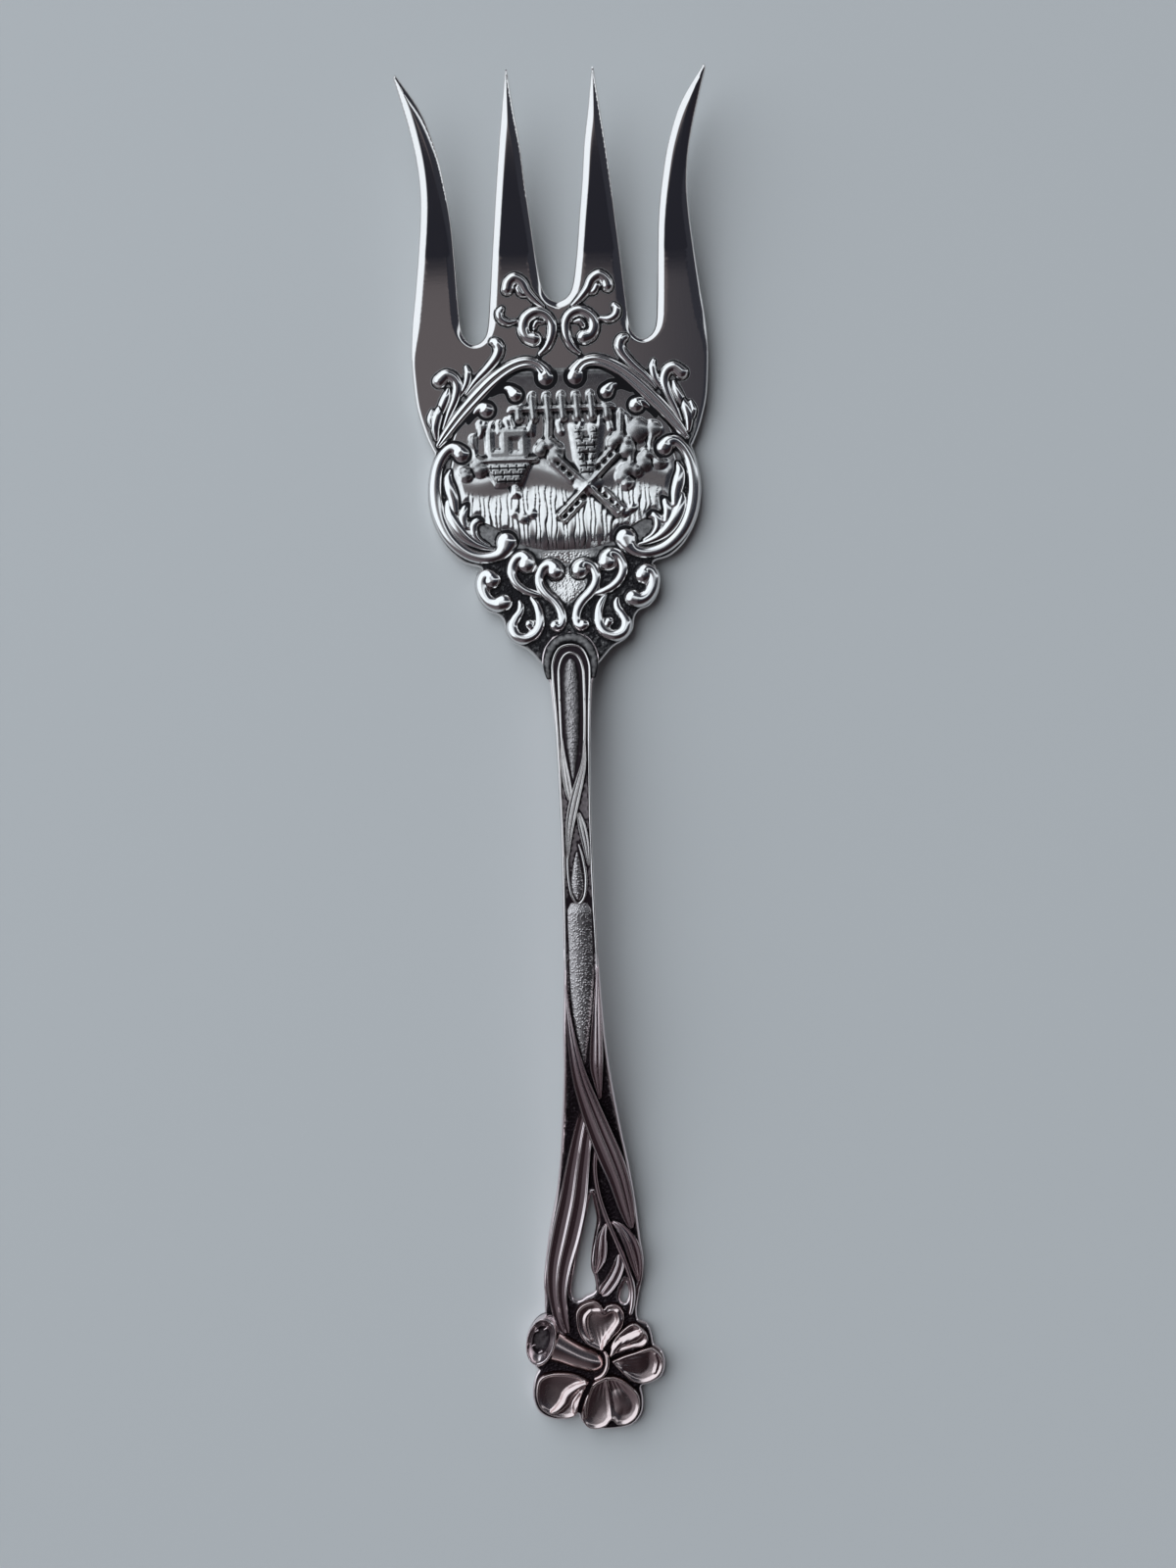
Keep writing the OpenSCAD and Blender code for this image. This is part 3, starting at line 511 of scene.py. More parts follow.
hairline, hairline_in, hairline_out = new_group(
    "hairline_wear", [("Depth", NUMBER, 1.0)], [("Height", NUMBER)])
along_it, across_it = noise(hairline, 700, 2, (6, 0.6, 1)), noise(hairline, 500, 2, (1, 5, 1))
scratches = math_node(hairline, "ADD", along_it, across_it)
scratches = math_node(hairline, "MULTIPLY", scratches, hairline_in.outputs["Depth"])
hairline.links.new(scratches, hairline_out.inputs["Height"])
print("groups:", [g.name for g in bpy.data.node_groups])

# %% [markdown]
# ## Materials
# Each material is one Principled shader with the metal fully metallic. The wear group gives colour
# and roughness, and the height of scratches or stipple goes through a Bump node. The handle is a
# shade warmer than the head, and the flower browner still: partly the tarnish that the satin holds,
# and partly a painted reflection of the dim, warm room towards the viewer, put into the metal
# colour.

# %% The silver finishes
def place_group(tree, group, **values):
    """Places a node group in a material and sets its plain inputs."""
    node = tree.nodes.new("ShaderNodeGroup")
    node.node_tree = group
    for label, value in values.items():
        node.inputs[label].default_value = value
    return node


def mark_read(tree, label):
    """The number that each point of the piece carries under this label."""
    node = tree.nodes.new("ShaderNodeAttribute")
    node.attribute_name = label
    return node.outputs["Fac"]


DENT_DEPTH, DENT_STRENGTH = 0.00006, 0.7


def silver_finish(name, metal, oxide, bite, bright, dull, scratch,
                  pitch=2600.0, punch=0.7, dint=2.0):
    """A silver with its own colours, how far the black bites, its roughness where it is bright and
    where it is dull, its scratches and its punched ground."""
    made = bpy.data.materials.new(name)
    made.use_nodes = True
    tree = made.node_tree
    shader = tree.nodes["Principled BSDF"]
    shader.inputs["Metallic"].default_value = 1.0
    matte = mark_read(tree, "matte")
    stippled = place_group(tree, stipple, Pitch=pitch)
    pits = math_node(tree, "MULTIPLY", stippled.outputs["Pits"], matte)
    pits = math_node(tree, "MULTIPLY", pits, punch)
    worn = place_group(tree, wear, Bite=bite, Metal=(*metal, 1), Oxide=(*oxide, 1),
                       Bright=bright, Dull=dull)
    recess = math_node(tree, "MAXIMUM", mark_read(tree, "recess"), pits)
    tree.links.new(recess, worn.inputs["Recess"])
    tree.links.new(worn.outputs["Color"], shader.inputs["Base Color"])
    tree.links.new(worn.outputs["Roughness"], shader.inputs["Roughness"])
    scratched = place_group(tree, hairline, Depth=scratch)
    dents = math_node(tree, "MULTIPLY", stippled.outputs["Height"], matte)
    dents = math_node(tree, "MULTIPLY", dents, dint)
    bump = tree.nodes.new("ShaderNodeBump")
    bump.inputs["Distance"].default_value = DENT_DEPTH
    bump.inputs["Strength"].default_value = DENT_STRENGTH
    marked = math_node(tree, "ADD", dents, scratched.outputs["Height"])
    tree.links.new(marked, bump.inputs["Height"])
    tree.links.new(bump.outputs["Normal"], shader.inputs["Normal"])
    return made


BLACK = (0.02, 0.019, 0.021)
polish = silver_finish("polished_silver", (0.80, 0.775, 0.765), BLACK,
                       bite=0.45, bright=0.06, dull=0.5, scratch=0.01, punch=0.5)
chased = silver_finish("chased_silver", (0.84, 0.825, 0.82), BLACK,
                       bite=0.4, bright=0.11, dull=0.45, scratch=0.015)
relief = silver_finish("relief_silver", (0.76, 0.745, 0.735), BLACK,
                       bite=0.42, bright=0.13, dull=0.45, scratch=0.03)
beaded = silver_finish("beaded_silver", (0.78, 0.745, 0.735), BLACK,
                       bite=0.42, bright=0.16, dull=0.42, scratch=0.02)
# The satin's pink-purple metal and the petals' red-brown metal and oxide are partly tarnish and
# partly a painted reflection of the warm room towards the viewer.
satin = silver_finish("satin_silver", (0.80, 0.70, 0.715), (0.026, 0.019, 0.023),
                      bite=0.42, bright=0.14, dull=0.42, scratch=0.03)
punched = silver_finish("punched_silver", (0.66, 0.62, 0.62), (0.035, 0.03, 0.032),
                        bite=0.42, bright=0.2, dull=0.45, scratch=0.03, pitch=3000.0, dint=1.5)
petals = silver_finish("petal_silver", (0.70, 0.58, 0.57), (0.07, 0.02, 0.02),
                       bite=0.42, bright=0.2, dull=0.42, scratch=0.03)
print("materials:", [m.name for m in bpy.data.materials if m.name.endswith("silver")])

# %% [markdown]
# ## The scrolls of the head and neck
# The border round the picture, the arch above it, the crown between the inner tines and the heart
# at the neck are all scrolls that swell into round bulbs. They are drawn once, on the right, as
# knots of place across, place along and half-width, and turned over for the left hand.

# %% Scrolls drawn on the right side
SCROLL_H, LEAF_H, FULLER, NECK_FULLER = 0.8, 0.72, 1.12, 1.22
scrolls = {
    "border_scroll": (0.66, round_back, [
        [[15.2, 46.9, 1.3], [15.9, 47.7, 1.0], [16.9, 47.8, 0.85], [18, 46.8, 0.8],
         [18.9, 45, 0.82], [19.35, 42.5, 0.88], [19.3, 39.8, 0.92], [18.75, 37.2, 0.93],
         [17.7, 34.9, 0.92], [16.2, 33.1, 0.9], [14.4, 31.85, 0.87], [12.3, 31.3, 0.85],
         [10.5, 31.55, 0.9], [9.4, 32.4, 1.15], [8.9, 33.6, 1.5]]]),
    "border_leaf": (LEAF_H, round_back, [
        [[17.6, 39.8, 0.4], [17.3, 38.2, 0.85], [16.4, 36.3, 1], [15.2, 34.7, 0.9],
         [13.8, 33.6, 0.65], [12.2, 32.9, 0.42], [10.9, 32.6, 0.2]],
        [[17, 44.5, 0.3], [17.35, 43.3, 0.7], [17.1, 41.8, 0.95], [16.7, 40.2, 0.9],
         [16.5, 38.4, 0.7]],
        [[14.6, 39.4, 0.28], [15.05, 38.7, 0.65], [15.35, 37.5, 0.78], [15.1, 36, 0.65]],
        [[12.6, 36.8, 0.4], [13.2, 36.9, 0.62], [13.8, 36.2, 0.7], [13.7, 35, 0.6],
         [12.9, 33.9, 0.42], [11.7, 33.2, 0.25]]]),
    "arch_scroll": (SCROLL_H, gouged_back, [
        [[18.6, 48.4, 0.4], [17.2, 50.2, 0.8], [15.2, 52.6, 1], [12.7, 55.2, 1.12],
         [10.1, 57.6, 1.12], [7.6, 59.3, 1.05], [5.4, 60.05, 0.98], [3.7, 59.8, 0.95],
         [2.7, 58.9, 1.12], [2.2, 57.8, 1.5]]]),
    "arch_tendril": (LEAF_H, round_back, [
        [[14.2, 55.9, 0.25], [12.7, 57.7, 0.5], [10.9, 59.4, 0.62], [9.5, 61, 0.72],
         [9, 62.2, 0.8], [9.3, 63.1, 0.78], [9.9, 63.4, 0.55]]]),
    "inner_curls": (SCROLL_H, round_back, [
        [[14, 51.6, 0.2], [13, 53, 0.5], [12, 53.7, 0.85], [11.2, 53.3, 1.3]],
        [[10.4, 55.6, 0.25], [9, 56.4, 0.55], [7.7, 56.3, 0.8], [6.8, 55.4, 1.2]]]),
    "shoulder_curl": (LEAF_H, round_back, [
        [[17.8, 50.8, 0.25], [16.9, 53, 0.5], [15.9, 55.2, 0.65], [15.5, 57, 0.75],
         [16, 58.3, 0.82], [17.1, 58.7, 0.88], [18.1, 57.9, 1]],
        [[15.2, 55.6, 0.25], [14.2, 57.2, 0.5], [13.8, 58.8, 0.55], [14, 59.8, 0.35]]]),
    "shoulder_leaf": (LEAF_H, round_back, [
        [[18.9, 49.4, 0.35], [19, 51.2, 0.7], [18.6, 52.8, 0.75], [18, 54, 0.5]],
        [[18.3, 52.6, 0.3], [17.8, 54.2, 0.65], [17.2, 55.6, 0.6], [16.9, 56.6, 0.3]],
        [[19.2, 50.6, 0.3], [19.7, 52.2, 0.5], [19.4, 53.6, 0.25]]]),
    "crown_scroll": (LEAF_H, round_back, [
        [[2.9, 61.4, 0.35], [1.8, 62.5, 0.6], [1.1, 64.1, 0.7], [1.05, 65.8, 0.72],
         [1.9, 67.1, 0.74], [3.4, 67.5, 0.78], [4.8, 66.7, 0.82], [5.3, 65.3, 0.86],
         [4.8, 64, 0.92], [3.7, 63.6, 1.05]],
        [[2.4, 65.9, 0.25], [3.2, 66, 0.45], [3.6, 65.4, 0.4]]]),
    "crown_leaf": (LEAF_H, round_back, [
        [[2.2, 68.3, 0.3], [3.4, 69.3, 0.55], [4.5, 70.6, 0.68], [5.2, 71.9, 0.75],
         [6.3, 72.5, 0.78], [7.2, 71.9, 0.82], [7.5, 70.9, 0.85]],
        [[4.4, 70, 0.25], [5.4, 70.2, 0.48], [5.9, 71, 0.45]],
        [[6.3, 66.3, 0.3], [7.5, 66.1, 0.52], [8.5, 66.6, 0.62], [8.8, 67.5, 0.6],
         [8.4, 68.1, 0.45]]]),
    "heart_scroll": (SCROLL_H, round_back, [
        [[1.8, 28.9, 1.16], [1.95, 29.5, 1.0], [2.7, 29.95, 0.8], [3.7, 29.45, 0.72],
         [4.25, 28.2, 0.72], [4.1, 26.9, 0.72], [3.3, 25.6, 0.72], [2.2, 24.5, 0.72],
         [1.4, 23.3, 0.7], [1.05, 22, 0.68], [1.2, 21, 0.7], [1.7, 20.6, 0.76],
         [2.1, 20.75, 0.84]]]),
    "neck_scroll": (SCROLL_H, round_back, [
        [[6.05, 30.1, 1.28], [6.05, 30.8, 1.05], [6.65, 31.35, 0.86], [7.6, 31, 0.76],
         [8.25, 29.9, 0.73], [8.3, 28.6, 0.73], [7.7, 27.3, 0.7], [6.6, 26.3, 0.65],
         [5.3, 25.7, 0.55], [4.2, 25.4, 0.35]]]),
    "neck_loop": (SCROLL_H, round_back, [
        [[5.5, 25, 0.3], [4.75, 23.8, 0.58], [4.4, 22.3, 0.68], [4.5, 20.7, 0.73],
         [5.3, 19.5, 0.78], [6.7, 19, 0.82], [8, 19.5, 0.82], [8.5, 20.8, 0.78], [8, 22, 0.7],
         [7.35, 22.9, 0.62], [7.15, 23.8, 0.52], [7.3, 24.5, 0.3]],
        [[5.7, 20.7, 0.55], [5.95, 21.1, 0.68]]]),
    "side_volute": (SCROLL_H, round_back, [
        [[11.3, 27.9, 1.2], [11.8, 28.6, 1.0], [12.5, 28.4, 0.9], [12.85, 27.4, 0.86],
         [12.6, 26, 0.86], [11.8, 24.8, 0.9], [10.7, 24.3, 1.02], [9.7, 24.5, 1.2]]]),
}
NECK_KINDS = ("heart_scroll", "neck_scroll", "neck_loop", "side_volute")
scroll_traces = []
for kind, (height, back, strokes) in scrolls.items():
    full = NECK_FULLER if kind in NECK_KINDS else FULLER
    strokes = [np.array(s) * [1.0, 1.0, full] for s in strokes]
    right = modelled(strokes, back, height, head_top)
    for hand, part in (("right", right), ("left", other_hand(right))):
        dressed(f"chased_{kind}_{hand}", [part], chased, "polished_silver", [f"{kind}_{hand}"], 70)
    scroll_traces += [spline(s, 6) for s in strokes] + [spline(mirrored(s), 6) for s in strokes]
scroll_traces = np.vstack(scroll_traces)
print("scroll kinds:", len(scrolls), "trace points:", len(scroll_traces))

# %% [markdown]
# ## The plates
# A plate is a cut sheet: a flat outline with softened edges. The height of its face depends only
# on the place along the fork and on the distance to the nearest edge, so the outline is filled
# with triangles whose points lie on rings a set distance inside the edge, which keeps a bevel
# crisp, and on an even grid within. A fine grid of triangles follows the long curve where one big
# face can't.

# %% Filling an outline
def ring_normals(loop):
    """Unit normals to the left of a closed loop, which is inside when it runs anticlockwise."""
    way = np.roll(loop, -1, 0) - np.roll(loop, 1, 0)
    way /= np.linalg.norm(way, axis=1, keepdims=True)
    return np.stack([-way[:, 1], way[:, 0]], 1)


def edge_distance(points, loops):
    """Distance to the nearest side of any loop: the point less its foot on each side, at its
    least."""
    a = np.vstack(loops)
    run = np.vstack([np.roll(loop, -1, 0) for loop in loops]) - a
    length = (run**2).sum(1)

    def nearest(p):
        t = np.clip(((p[:, None] - a) * run).sum(2) / length, 0, 1)
        return np.sqrt(((p[:, None] - a - t[..., None] * run) ** 2).sum(2).min(1))
    return by_chunks(nearest, points)


def inside(points, loops):
    """Even-odd rule: a point is inside if a ray from it crosses the loops an odd number of
    times."""
    a = np.vstack(loops)
    b = np.vstack([np.roll(loop, -1, 0) for loop in loops])

    def odd(p):
        over = (a[:, 1] > p[:, None, 1]) != (b[:, 1] > p[:, None, 1])
        rise = np.where(a[:, 1] == b[:, 1], 1e-9, b[:, 1] - a[:, 1])
        cross = a[:, 0] + (p[:, None, 1] - a[:, 1]) / rise * (b[:, 0] - a[:, 0])
        return (over & (p[:, None, 0] < cross)).sum(1) % 2 == 1
    return by_chunks(odd, points)


def closed_loop(path, step, hole=False):
    """A closed loop with even steps, anticlockwise outside and clockwise round a hole."""
    loop = even(np.vstack([path, path[:1]]), step)[:-1]
    area = (loop[:, 0] * np.roll(loop[:, 1], -1) - np.roll(loop[:, 0], -1) * loop[:, 1]).sum()
    return loop[::-1] if (area > 0) == hole else loop


def even_grid(low, high, pitch):
    """Points of an even triangular grid over a box: every other row moves along by half a pitch."""
    across, along = np.arange(low[0], high[0], pitch), np.arange(low[1], high[1], pitch * 0.87)
    gx, gy = np.meshgrid(across, along)
    gx = gx + (np.arange(gx.shape[0]) % 2)[:, None] * pitch / 2
    return np.stack([gx.ravel(), gy.ravel()], 1)


PLATE_PITCH, NOWHERE = 0.34, 1e3


def filled(loops, rings, pitch, fine_y=NOWHERE):
    """Points and triangles that fill the loops: rings at set distances from the edge, then a grid.
    Past fine_y, where a tip is too narrow for rings, there are one ring and a grid of half the
    pitch."""
    edge = np.vstack(loops)
    inward = np.vstack([ring_normals(loop) for loop in loops])
    near = [edge + inward * r for r in rings]
    near = [p[(edge_distance(p, loops) > r * 0.97) & inside(p, loops)] for p, r in zip(near, rings)]
    near[1:] = [p[p[:, 1] < fine_y] for p in near[1:]]
    grid = even_grid(edge.min(0), np.minimum(edge.max(0), [NOWHERE, fine_y]), pitch)
    grid = grid[inside(grid, loops)]
    grid = grid[edge_distance(grid, loops) > rings[-1] + pitch * 0.4]
    tips = even_grid([edge[:, 0].min(), fine_y], edge.max(0), pitch / 2)
    if len(tips):
        tips = tips[inside(tips, loops)]
        tips = tips[edge_distance(tips, loops) > rings[0] + pitch * 0.3]
    points = np.vstack([edge] + near + [grid, tips])
    starts = np.cumsum([0] + [len(loop) for loop in loops])
    sides = [(int(start + i), int(start + (i + 1) % len(loop)))
             for loop, start in zip(loops, starts) for i in range(len(loop))]
    corners = [Vector(p) for p in points.tolist()]
    flat, _, faces, kept, _, _ = delaunay_2d_cdt(corners, sides, [], 0, 1e-6)
    flat = np.array([list(p) for p in flat])
    faces = np.array(faces)
    faces = faces[inside(flat[faces].mean(1), loops)]
    where = {old: new for new, olds in enumerate(kept) for old in olds}
    return flat, faces, [(where[a], where[b]) for a, b in sides]


def plate(loops, rings, face, back, fine_y=NOWHERE):
    """A closed plate: the filled outline at its face height and its back height, joined by its
    sides. It comes with its flat points and their distance to the edge."""
    flat, faces, sides = filled(loops, rings, PLATE_PITCH, fine_y)
    gap = edge_distance(flat, loops)
    points, faces = closed_over(flat, faces, sides, face(flat, gap), back(flat, gap))
    return points, faces, flat, gap


unit_square = np.array([[0, 0], [1, 0], [1, 1], [0, 1.0]])
print("inside a square:", inside(np.array([[0.5, 0.5], [2, 2]]), [unit_square]))

# %% [markdown]
# ## The tined head
# The head is one sheet: bowl, shoulders and four tines. On the real fork the tines have a bevel
# along each side that meets in a ridge near the tip. A bevel that drops with the distance to the
# edge does both, because near a tip no point is far from an edge. Under the scrolls the ground is
# black, and the black fades out on the open shoulders, so the recess number comes from the
# distance to the scrolls.

# %% Outline of the head
BOWL_Y, NECK_Y, SHANK_Y = 30.0, 16.0, 16.0


def tined(knots):
    """Knots on the tines, stretched along the fork from the drawn length to the true one."""
    return raised(np.array(knots, float) * [1.0, TINE_L / TINE_DRAWN], ROOT_Y)


neck_edge = raised([[2.2, -6.5], [2.6, -2.6], [4.3, -1], [6.3, 1.2], [8.3, 2.4], [9.5, 3.9],
                    [9.8, 5.6], [10.6, 6.7], [12.2, 7.4], [13.5, 9.2], [13.9, 11.3], [13.5, 13],
                    [12.8, 13.7]], NECK_Y)
border_edge = raised([[13.4, 0.1], [15.6, 0.8], [17.8, 2.8], [19.6, 6], [20.4, 9.2], [20.5, 12],
                      [20, 15], [19.3, 17.2]], BOWL_Y)
shoulder_edge = np.vstack([
    raised([[19.5, 17.4], [20.6, 20], [21.7, 24], [22.1, 28]], BOWL_Y),
    tined([[22.2, -1], [21.9, 3], [21.3, 7], [20.6, 12], [20, 17], [19.8, 21], [20.1, 25],
           [20.9, 29], [22, 33], [23, 36.4]])])
outer_gap = tined([[22.6, 36.8], [19.2, 32], [17.2, 27], [16.1, 22], [15.4, 17], [15.1, 12],
                   [14.9, 7], [14.6, 2.6], [13.9, 0.9], [12.6, 0.2], [11.3, 0.9], [10.6, 2.6],
                   [10.1, 7], [9.6, 12], [9.05, 17], [8.5, 22], [7.9, 27], [7.2, 32], [6.5, 36.9]])
middle_gap = tined([[6.2, 37], [5.5, 32], [4.7, 27], [4.2, 22], [3.6, 17], [3, 12], [2.3, 8],
                    [1.4, 6.4], [0, 5.7]])
edges = (neck_edge, border_edge, shoulder_edge, outer_gap, middle_gap)
half_edge = np.vstack([spline(k) for k in edges])
head_loop = closed_loop(np.vstack([half_edge, mirrored(half_edge[-2::-1])]), 0.3)
print("head outline points:", len(head_loop))


# %% Heights of the head plate
HEART_Y, PATCH_Y = 26.8, 31.4


def edge_round(gap, width):
    """A round at an edge: 1 - distance over width, squared, and 0 past the width."""
    return np.clip(1 - gap / width, 0, 1) ** 2


def bell(p, y, wide, long):
    """A bell round a place on the middle line: e to the minus of (x over its width) squared and
    (way along over its length) squared."""
    return np.exp(-((p[:, 0] / wide) ** 2) - ((p[:, 1] - y) / long) ** 2)


def head_face(p, gap):
    """The face drops to the edge in a bevel, broad on the tines and narrow round the bowl. Inside
    the heart of the neck the punched ground leans a little to the upper left."""
    tine = smooth(60, 67, p[:, 1])
    broad, deep = 0.4 + 0.9 * tine, 0.2 + 0.25 * tine
    drop = deep * edge_round(gap, broad) + 0.16 * edge_round(gap, 0.22)
    lean = bell(p, HEART_Y, 2.4, 2.2) * (0.18 * p[:, 0] - 0.12 * (p[:, 1] - HEART_Y))
    return head_top(p[:, 1]) - drop + lean


def head_under(p, gap):
    """The back turns up in a small round at the edge."""
    return head_back(p[:, 1]) + 0.3 * edge_round(gap, 0.5)


on_edge = np.array([[0.0, TAPER_Y]])
edge_drop = head_top(on_edge[:, 1]) - head_face(on_edge, np.zeros(1))
print("drop at a tine's edge, mm:", edge_drop.round(2))

# %% The head plate and its black
HEAD_RINGS, FINE_TIPS_Y = [0.1, 0.22, 0.4, 0.62, 0.85, 1.1], 84.0
points, faces, flat, gap = plate([head_loop], HEAD_RINGS, head_face, head_under, FINE_TIPS_Y)
in_neck = 1 - smooth(30.5, 32.5, flat[:, 1])
in_bowl = (1 - in_neck) * (1 - smooth(54, 58, flat[:, 1] + 0.25 * np.abs(flat[:, 0])))
bright = bell(flat, HEART_Y, 2.4, 2.2) + bell(flat, PATCH_Y, 3.5, 1.0)
ground = in_bowl * 0.68 * smooth(0.2, 0.5, gap) + in_neck * 0.8 * smooth(0.5, 0.15, bright)
shade = 1 - smooth(0.0, 0.45, trace_gap(flat, scroll_traces))
black = np.maximum(shade, ground)
recess = np.concatenate([black * smooth(0.05, 0.3, gap), np.full(len(flat), 0.1)])
matte = np.concatenate([in_neck * smooth(0.3, 0.6, gap), np.zeros(len(flat))])
dressed("polished_tined_head", [(points, faces, recess)], polish, "polished_silver",
        ["tined_head"], 28, matte)
print("head plate points:", len(points))

# %% [markdown]
# ## The picture in the bowl
# A small landscape fills the bowl: a tower mill, a cottage, trees and a plank fence, with its foot
# towards the tines. A die sinker cuts such a picture as heights, so here it is a height over every
# point of a fine grid: ridges, slabs and round clumps, each a formula in the distance to a line,
# an outline or a centre, and the highest wins. Hollows beside high places keep their black.

# %% Tools of the die sinker
FOOT_ROW, TOP_ROW = 2.0, 29.4
rows = np.linspace(FOOT_ROW, TOP_ROW, 250)
rim_knots = np.array([
    [FOOT_ROW, 2.2], [2.5, 5], [3.2, 7.2], [4, 8.4], [5, 9.6], [6, 11.2], [6.6, 12.6], [7.5, 14.6],
    [9, 16.6], [11, 17.8], [13, 17.8], [15, 17.2], [17.5, 16.6], [19, 16.8], [20.5, 16.2],
    [22.6, 14.4], [25.3, 12], [27.8, 9.2], [TOP_ROW, 4]])
reach = np.interp(rows, rim_knots[:, 0], rim_knots[:, 1])
spread = np.linspace(-1, 1, 315)
px = reach[:, None] * spread
pv = rows[:, None] + 0 * spread


def ridge(a, b, half, height):
    """Round ridge on a line from a to b: height times the root of 1 - (distance / half) squared."""
    (ax, av), (bx, bv) = a, b
    run = (bx - ax) ** 2 + (bv - av) ** 2
    t = np.clip(((px - ax) * (bx - ax) + (pv - av) * (bv - av)) / run, 0, 1)
    gap = np.hypot(px - ax - t * (bx - ax), pv - av - t * (bv - av))
    return height * np.sqrt(np.clip(1 - (gap / half) ** 2, 0, 1))


def slab_depth(corners):
    """How far a point lies inside a convex outline: the least distance to its sides."""
    c = np.asarray(corners, float)
    d = np.roll(c, -1, 0) - c
    turn = np.sign((c[:, 0] * np.roll(c[:, 1], -1) - np.roll(c[:, 0], -1) * c[:, 1]).sum())
    depths = [((px - x) * -dv + (pv - v) * dx) * turn / math.hypot(dx, dv)
              for (x, v), (dx, dv) in zip(c, d)]
    return np.minimum.reduce(depths)


def slab(corners, height, soft=0.14):
    """A flat slab with softened sides."""
    return height * smooth(0, soft, slab_depth(corners))


def opening(left, right, foot, top):
    """A door or window: 1 inside a box with softened sides and 0 outside."""
    return smooth(0, 0.3, slab_depth([[left, foot], [right, foot], [right, top], [left, top]]))


def clump(places, r, height):
    """Round heads of leaves: the highest of several domes, each the root of 1 - (distance over its
    own share of the radius) squared."""
    gaps = [((px - x) ** 2 + (pv - v) ** 2) / (r * k) ** 2 for x, v, k in places]
    return np.maximum.reduce([height * np.sqrt(np.clip(1 - gap, 0, 1)) for gap in gaps])


def lines_of(value, pitch, width):
    """Fine grooves at a pitch: 1 in a groove of the given width and 0 between."""
    return 1 - smooth(width * 0.5, width, np.abs((value / pitch) % 1 - 0.5) * pitch)


def blurred(a, r):
    """Mean of the cells within r rows and columns, from running sums."""
    for axis in (0, 1):
        pad = [(r + 1, r) if k == axis else (0, 0) for k in (0, 1)]
        run = np.cumsum(np.pad(a, pad, mode="edge"), axis=axis)
        n = a.shape[axis]
        a = (np.take(run, np.arange(2 * r + 1, 2 * r + 1 + n), axis)
             - np.take(run, np.arange(n), axis)) / (2 * r + 1)
    return a


print("picture grid:", px.shape)

# %% Sky and mill
sky = 1 - smooth(9.2, 11.6, pv + 0.7 * np.sin(px * 0.45))
streak = px + 0.1 * np.sin(pv * 1.3 + 2 * px) + 0.16 * np.sin(px * 3.1)
hills = 0.12 * np.exp(-(((pv - 13.2 + np.sin(px * 0.4 + 0.6)) / 1.6) ** 2))

tower = slab([[0.7, 21], [6.3, 21], [5.2, 12.4], [1.8, 12.4]], 0.55, 1.3)
tower *= 1 - 0.7 * opening(2.7, 4.3, 21, 18.3)
tower *= 1 - 0.6 * opening(2.9, 4.1, 16.6, 15)
hub, SAIL_L, SAIL_W = np.array([3.5, 11.6]), 6.3, 1.15
mill = [tower, clump([(3.5, 12.2, 1)], 2.1, 0.65), clump([(3.5, 11.6, 1)], 0.9, 0.85)]
for turn in np.radians([45, 135, 225, 315]):
    way, side = np.array([np.cos(turn), np.sin(turn)]), np.array([-np.sin(turn), np.cos(turn)])
    edge = hub + side * SAIL_W
    mill += [ridge(hub, hub + way * SAIL_L, 0.42, 0.75),
             ridge(edge + way * 2.2, edge + way * SAIL_L, 0.28, 0.5)]
    mill += [ridge(hub + way * out, edge + way * out, 0.24, 0.48)
             for out in np.arange(2.4, 6.5, 1.3)]
mill = np.maximum.reduce(mill)
print("mill height, mm:", round(float(mill.max()), 2))

# %% Cottage, trees and fence
draw = np.random.default_rng(11)
wall = slab([[-11.6, 20.8], [-5, 20.8], [-5, 15], [-11.6, 15]], 0.42, 0.7)
wall *= 1 - 0.6 * opening(-8, -6.2, 19.1, 16.7)
wall *= 1 - 0.7 * opening(-10.7, -9, 20.8, 17)
roof = slab([[-12.6, 15.8], [-4, 15.8], [-6.2, 11.5], [-10.4, 11.5]], 0.62, 1.1)
chimney = slab([[-8.1, 12.4], [-6.5, 12.4], [-6.5, 10], [-8.1, 10]], 0.5, 0.6)
cottage = np.maximum.reduce([wall, roof, chimney, ridge((-12.5, 15.7), (-4.1, 15.7), 0.4, 0.6)])

crowns = [(-13.6, 14.4), (10, 12.8), (13.2, 15), (8.6, 17.4), (-2.2, 16.8)]
leaves = [(x + 1.2 * np.cos(a), v + 1.15 * np.sin(a), k) for x, v in crowns
          for a, k in zip(draw.uniform(0, 6.28, 5), draw.uniform(0.7, 1.0, 5))]
trees = clump(leaves, 1.25, 0.62)
for x, v in crowns:
    trees = np.maximum(trees, ridge((x, v + 1), (x + 0.2, v + 4.8), 0.5, 0.5))

pales = np.linspace(-6.6, 6.6, 7)
fence = ridge((-7.6, 23.2), (7.6, 23.2), 0.34, 0.4)
for x in pales:
    fence = np.maximum(fence, ridge((x, 25), (x + 0.2, 21.8), 0.6, 0.55))
stacks = np.maximum(clump([(11.2, 19.6, 1)], 1.8, 0.6), clump([(13.6, 19.6, 1)], 1.3, 0.5))
grass = np.maximum.reduce([ridge((x, v), (x + lean, v - 1.4), 0.3, 0.34) for x, v, lean in zip(
    draw.uniform(-13, 14, 16), draw.uniform(21, 22, 16), draw.uniform(-0.5, 0.5, 16))])
clouds = clump([(-7.6, 7.8, 0.8), (-6.3, 7.2, 1), (-5, 7.7, 0.8),
                (7.6, 7.9, 0.7), (8.8, 7.5, 0.9), (10, 8, 0.7)], 1, 0.22)
print("trees:", len(crowns), "pales:", len(pales))

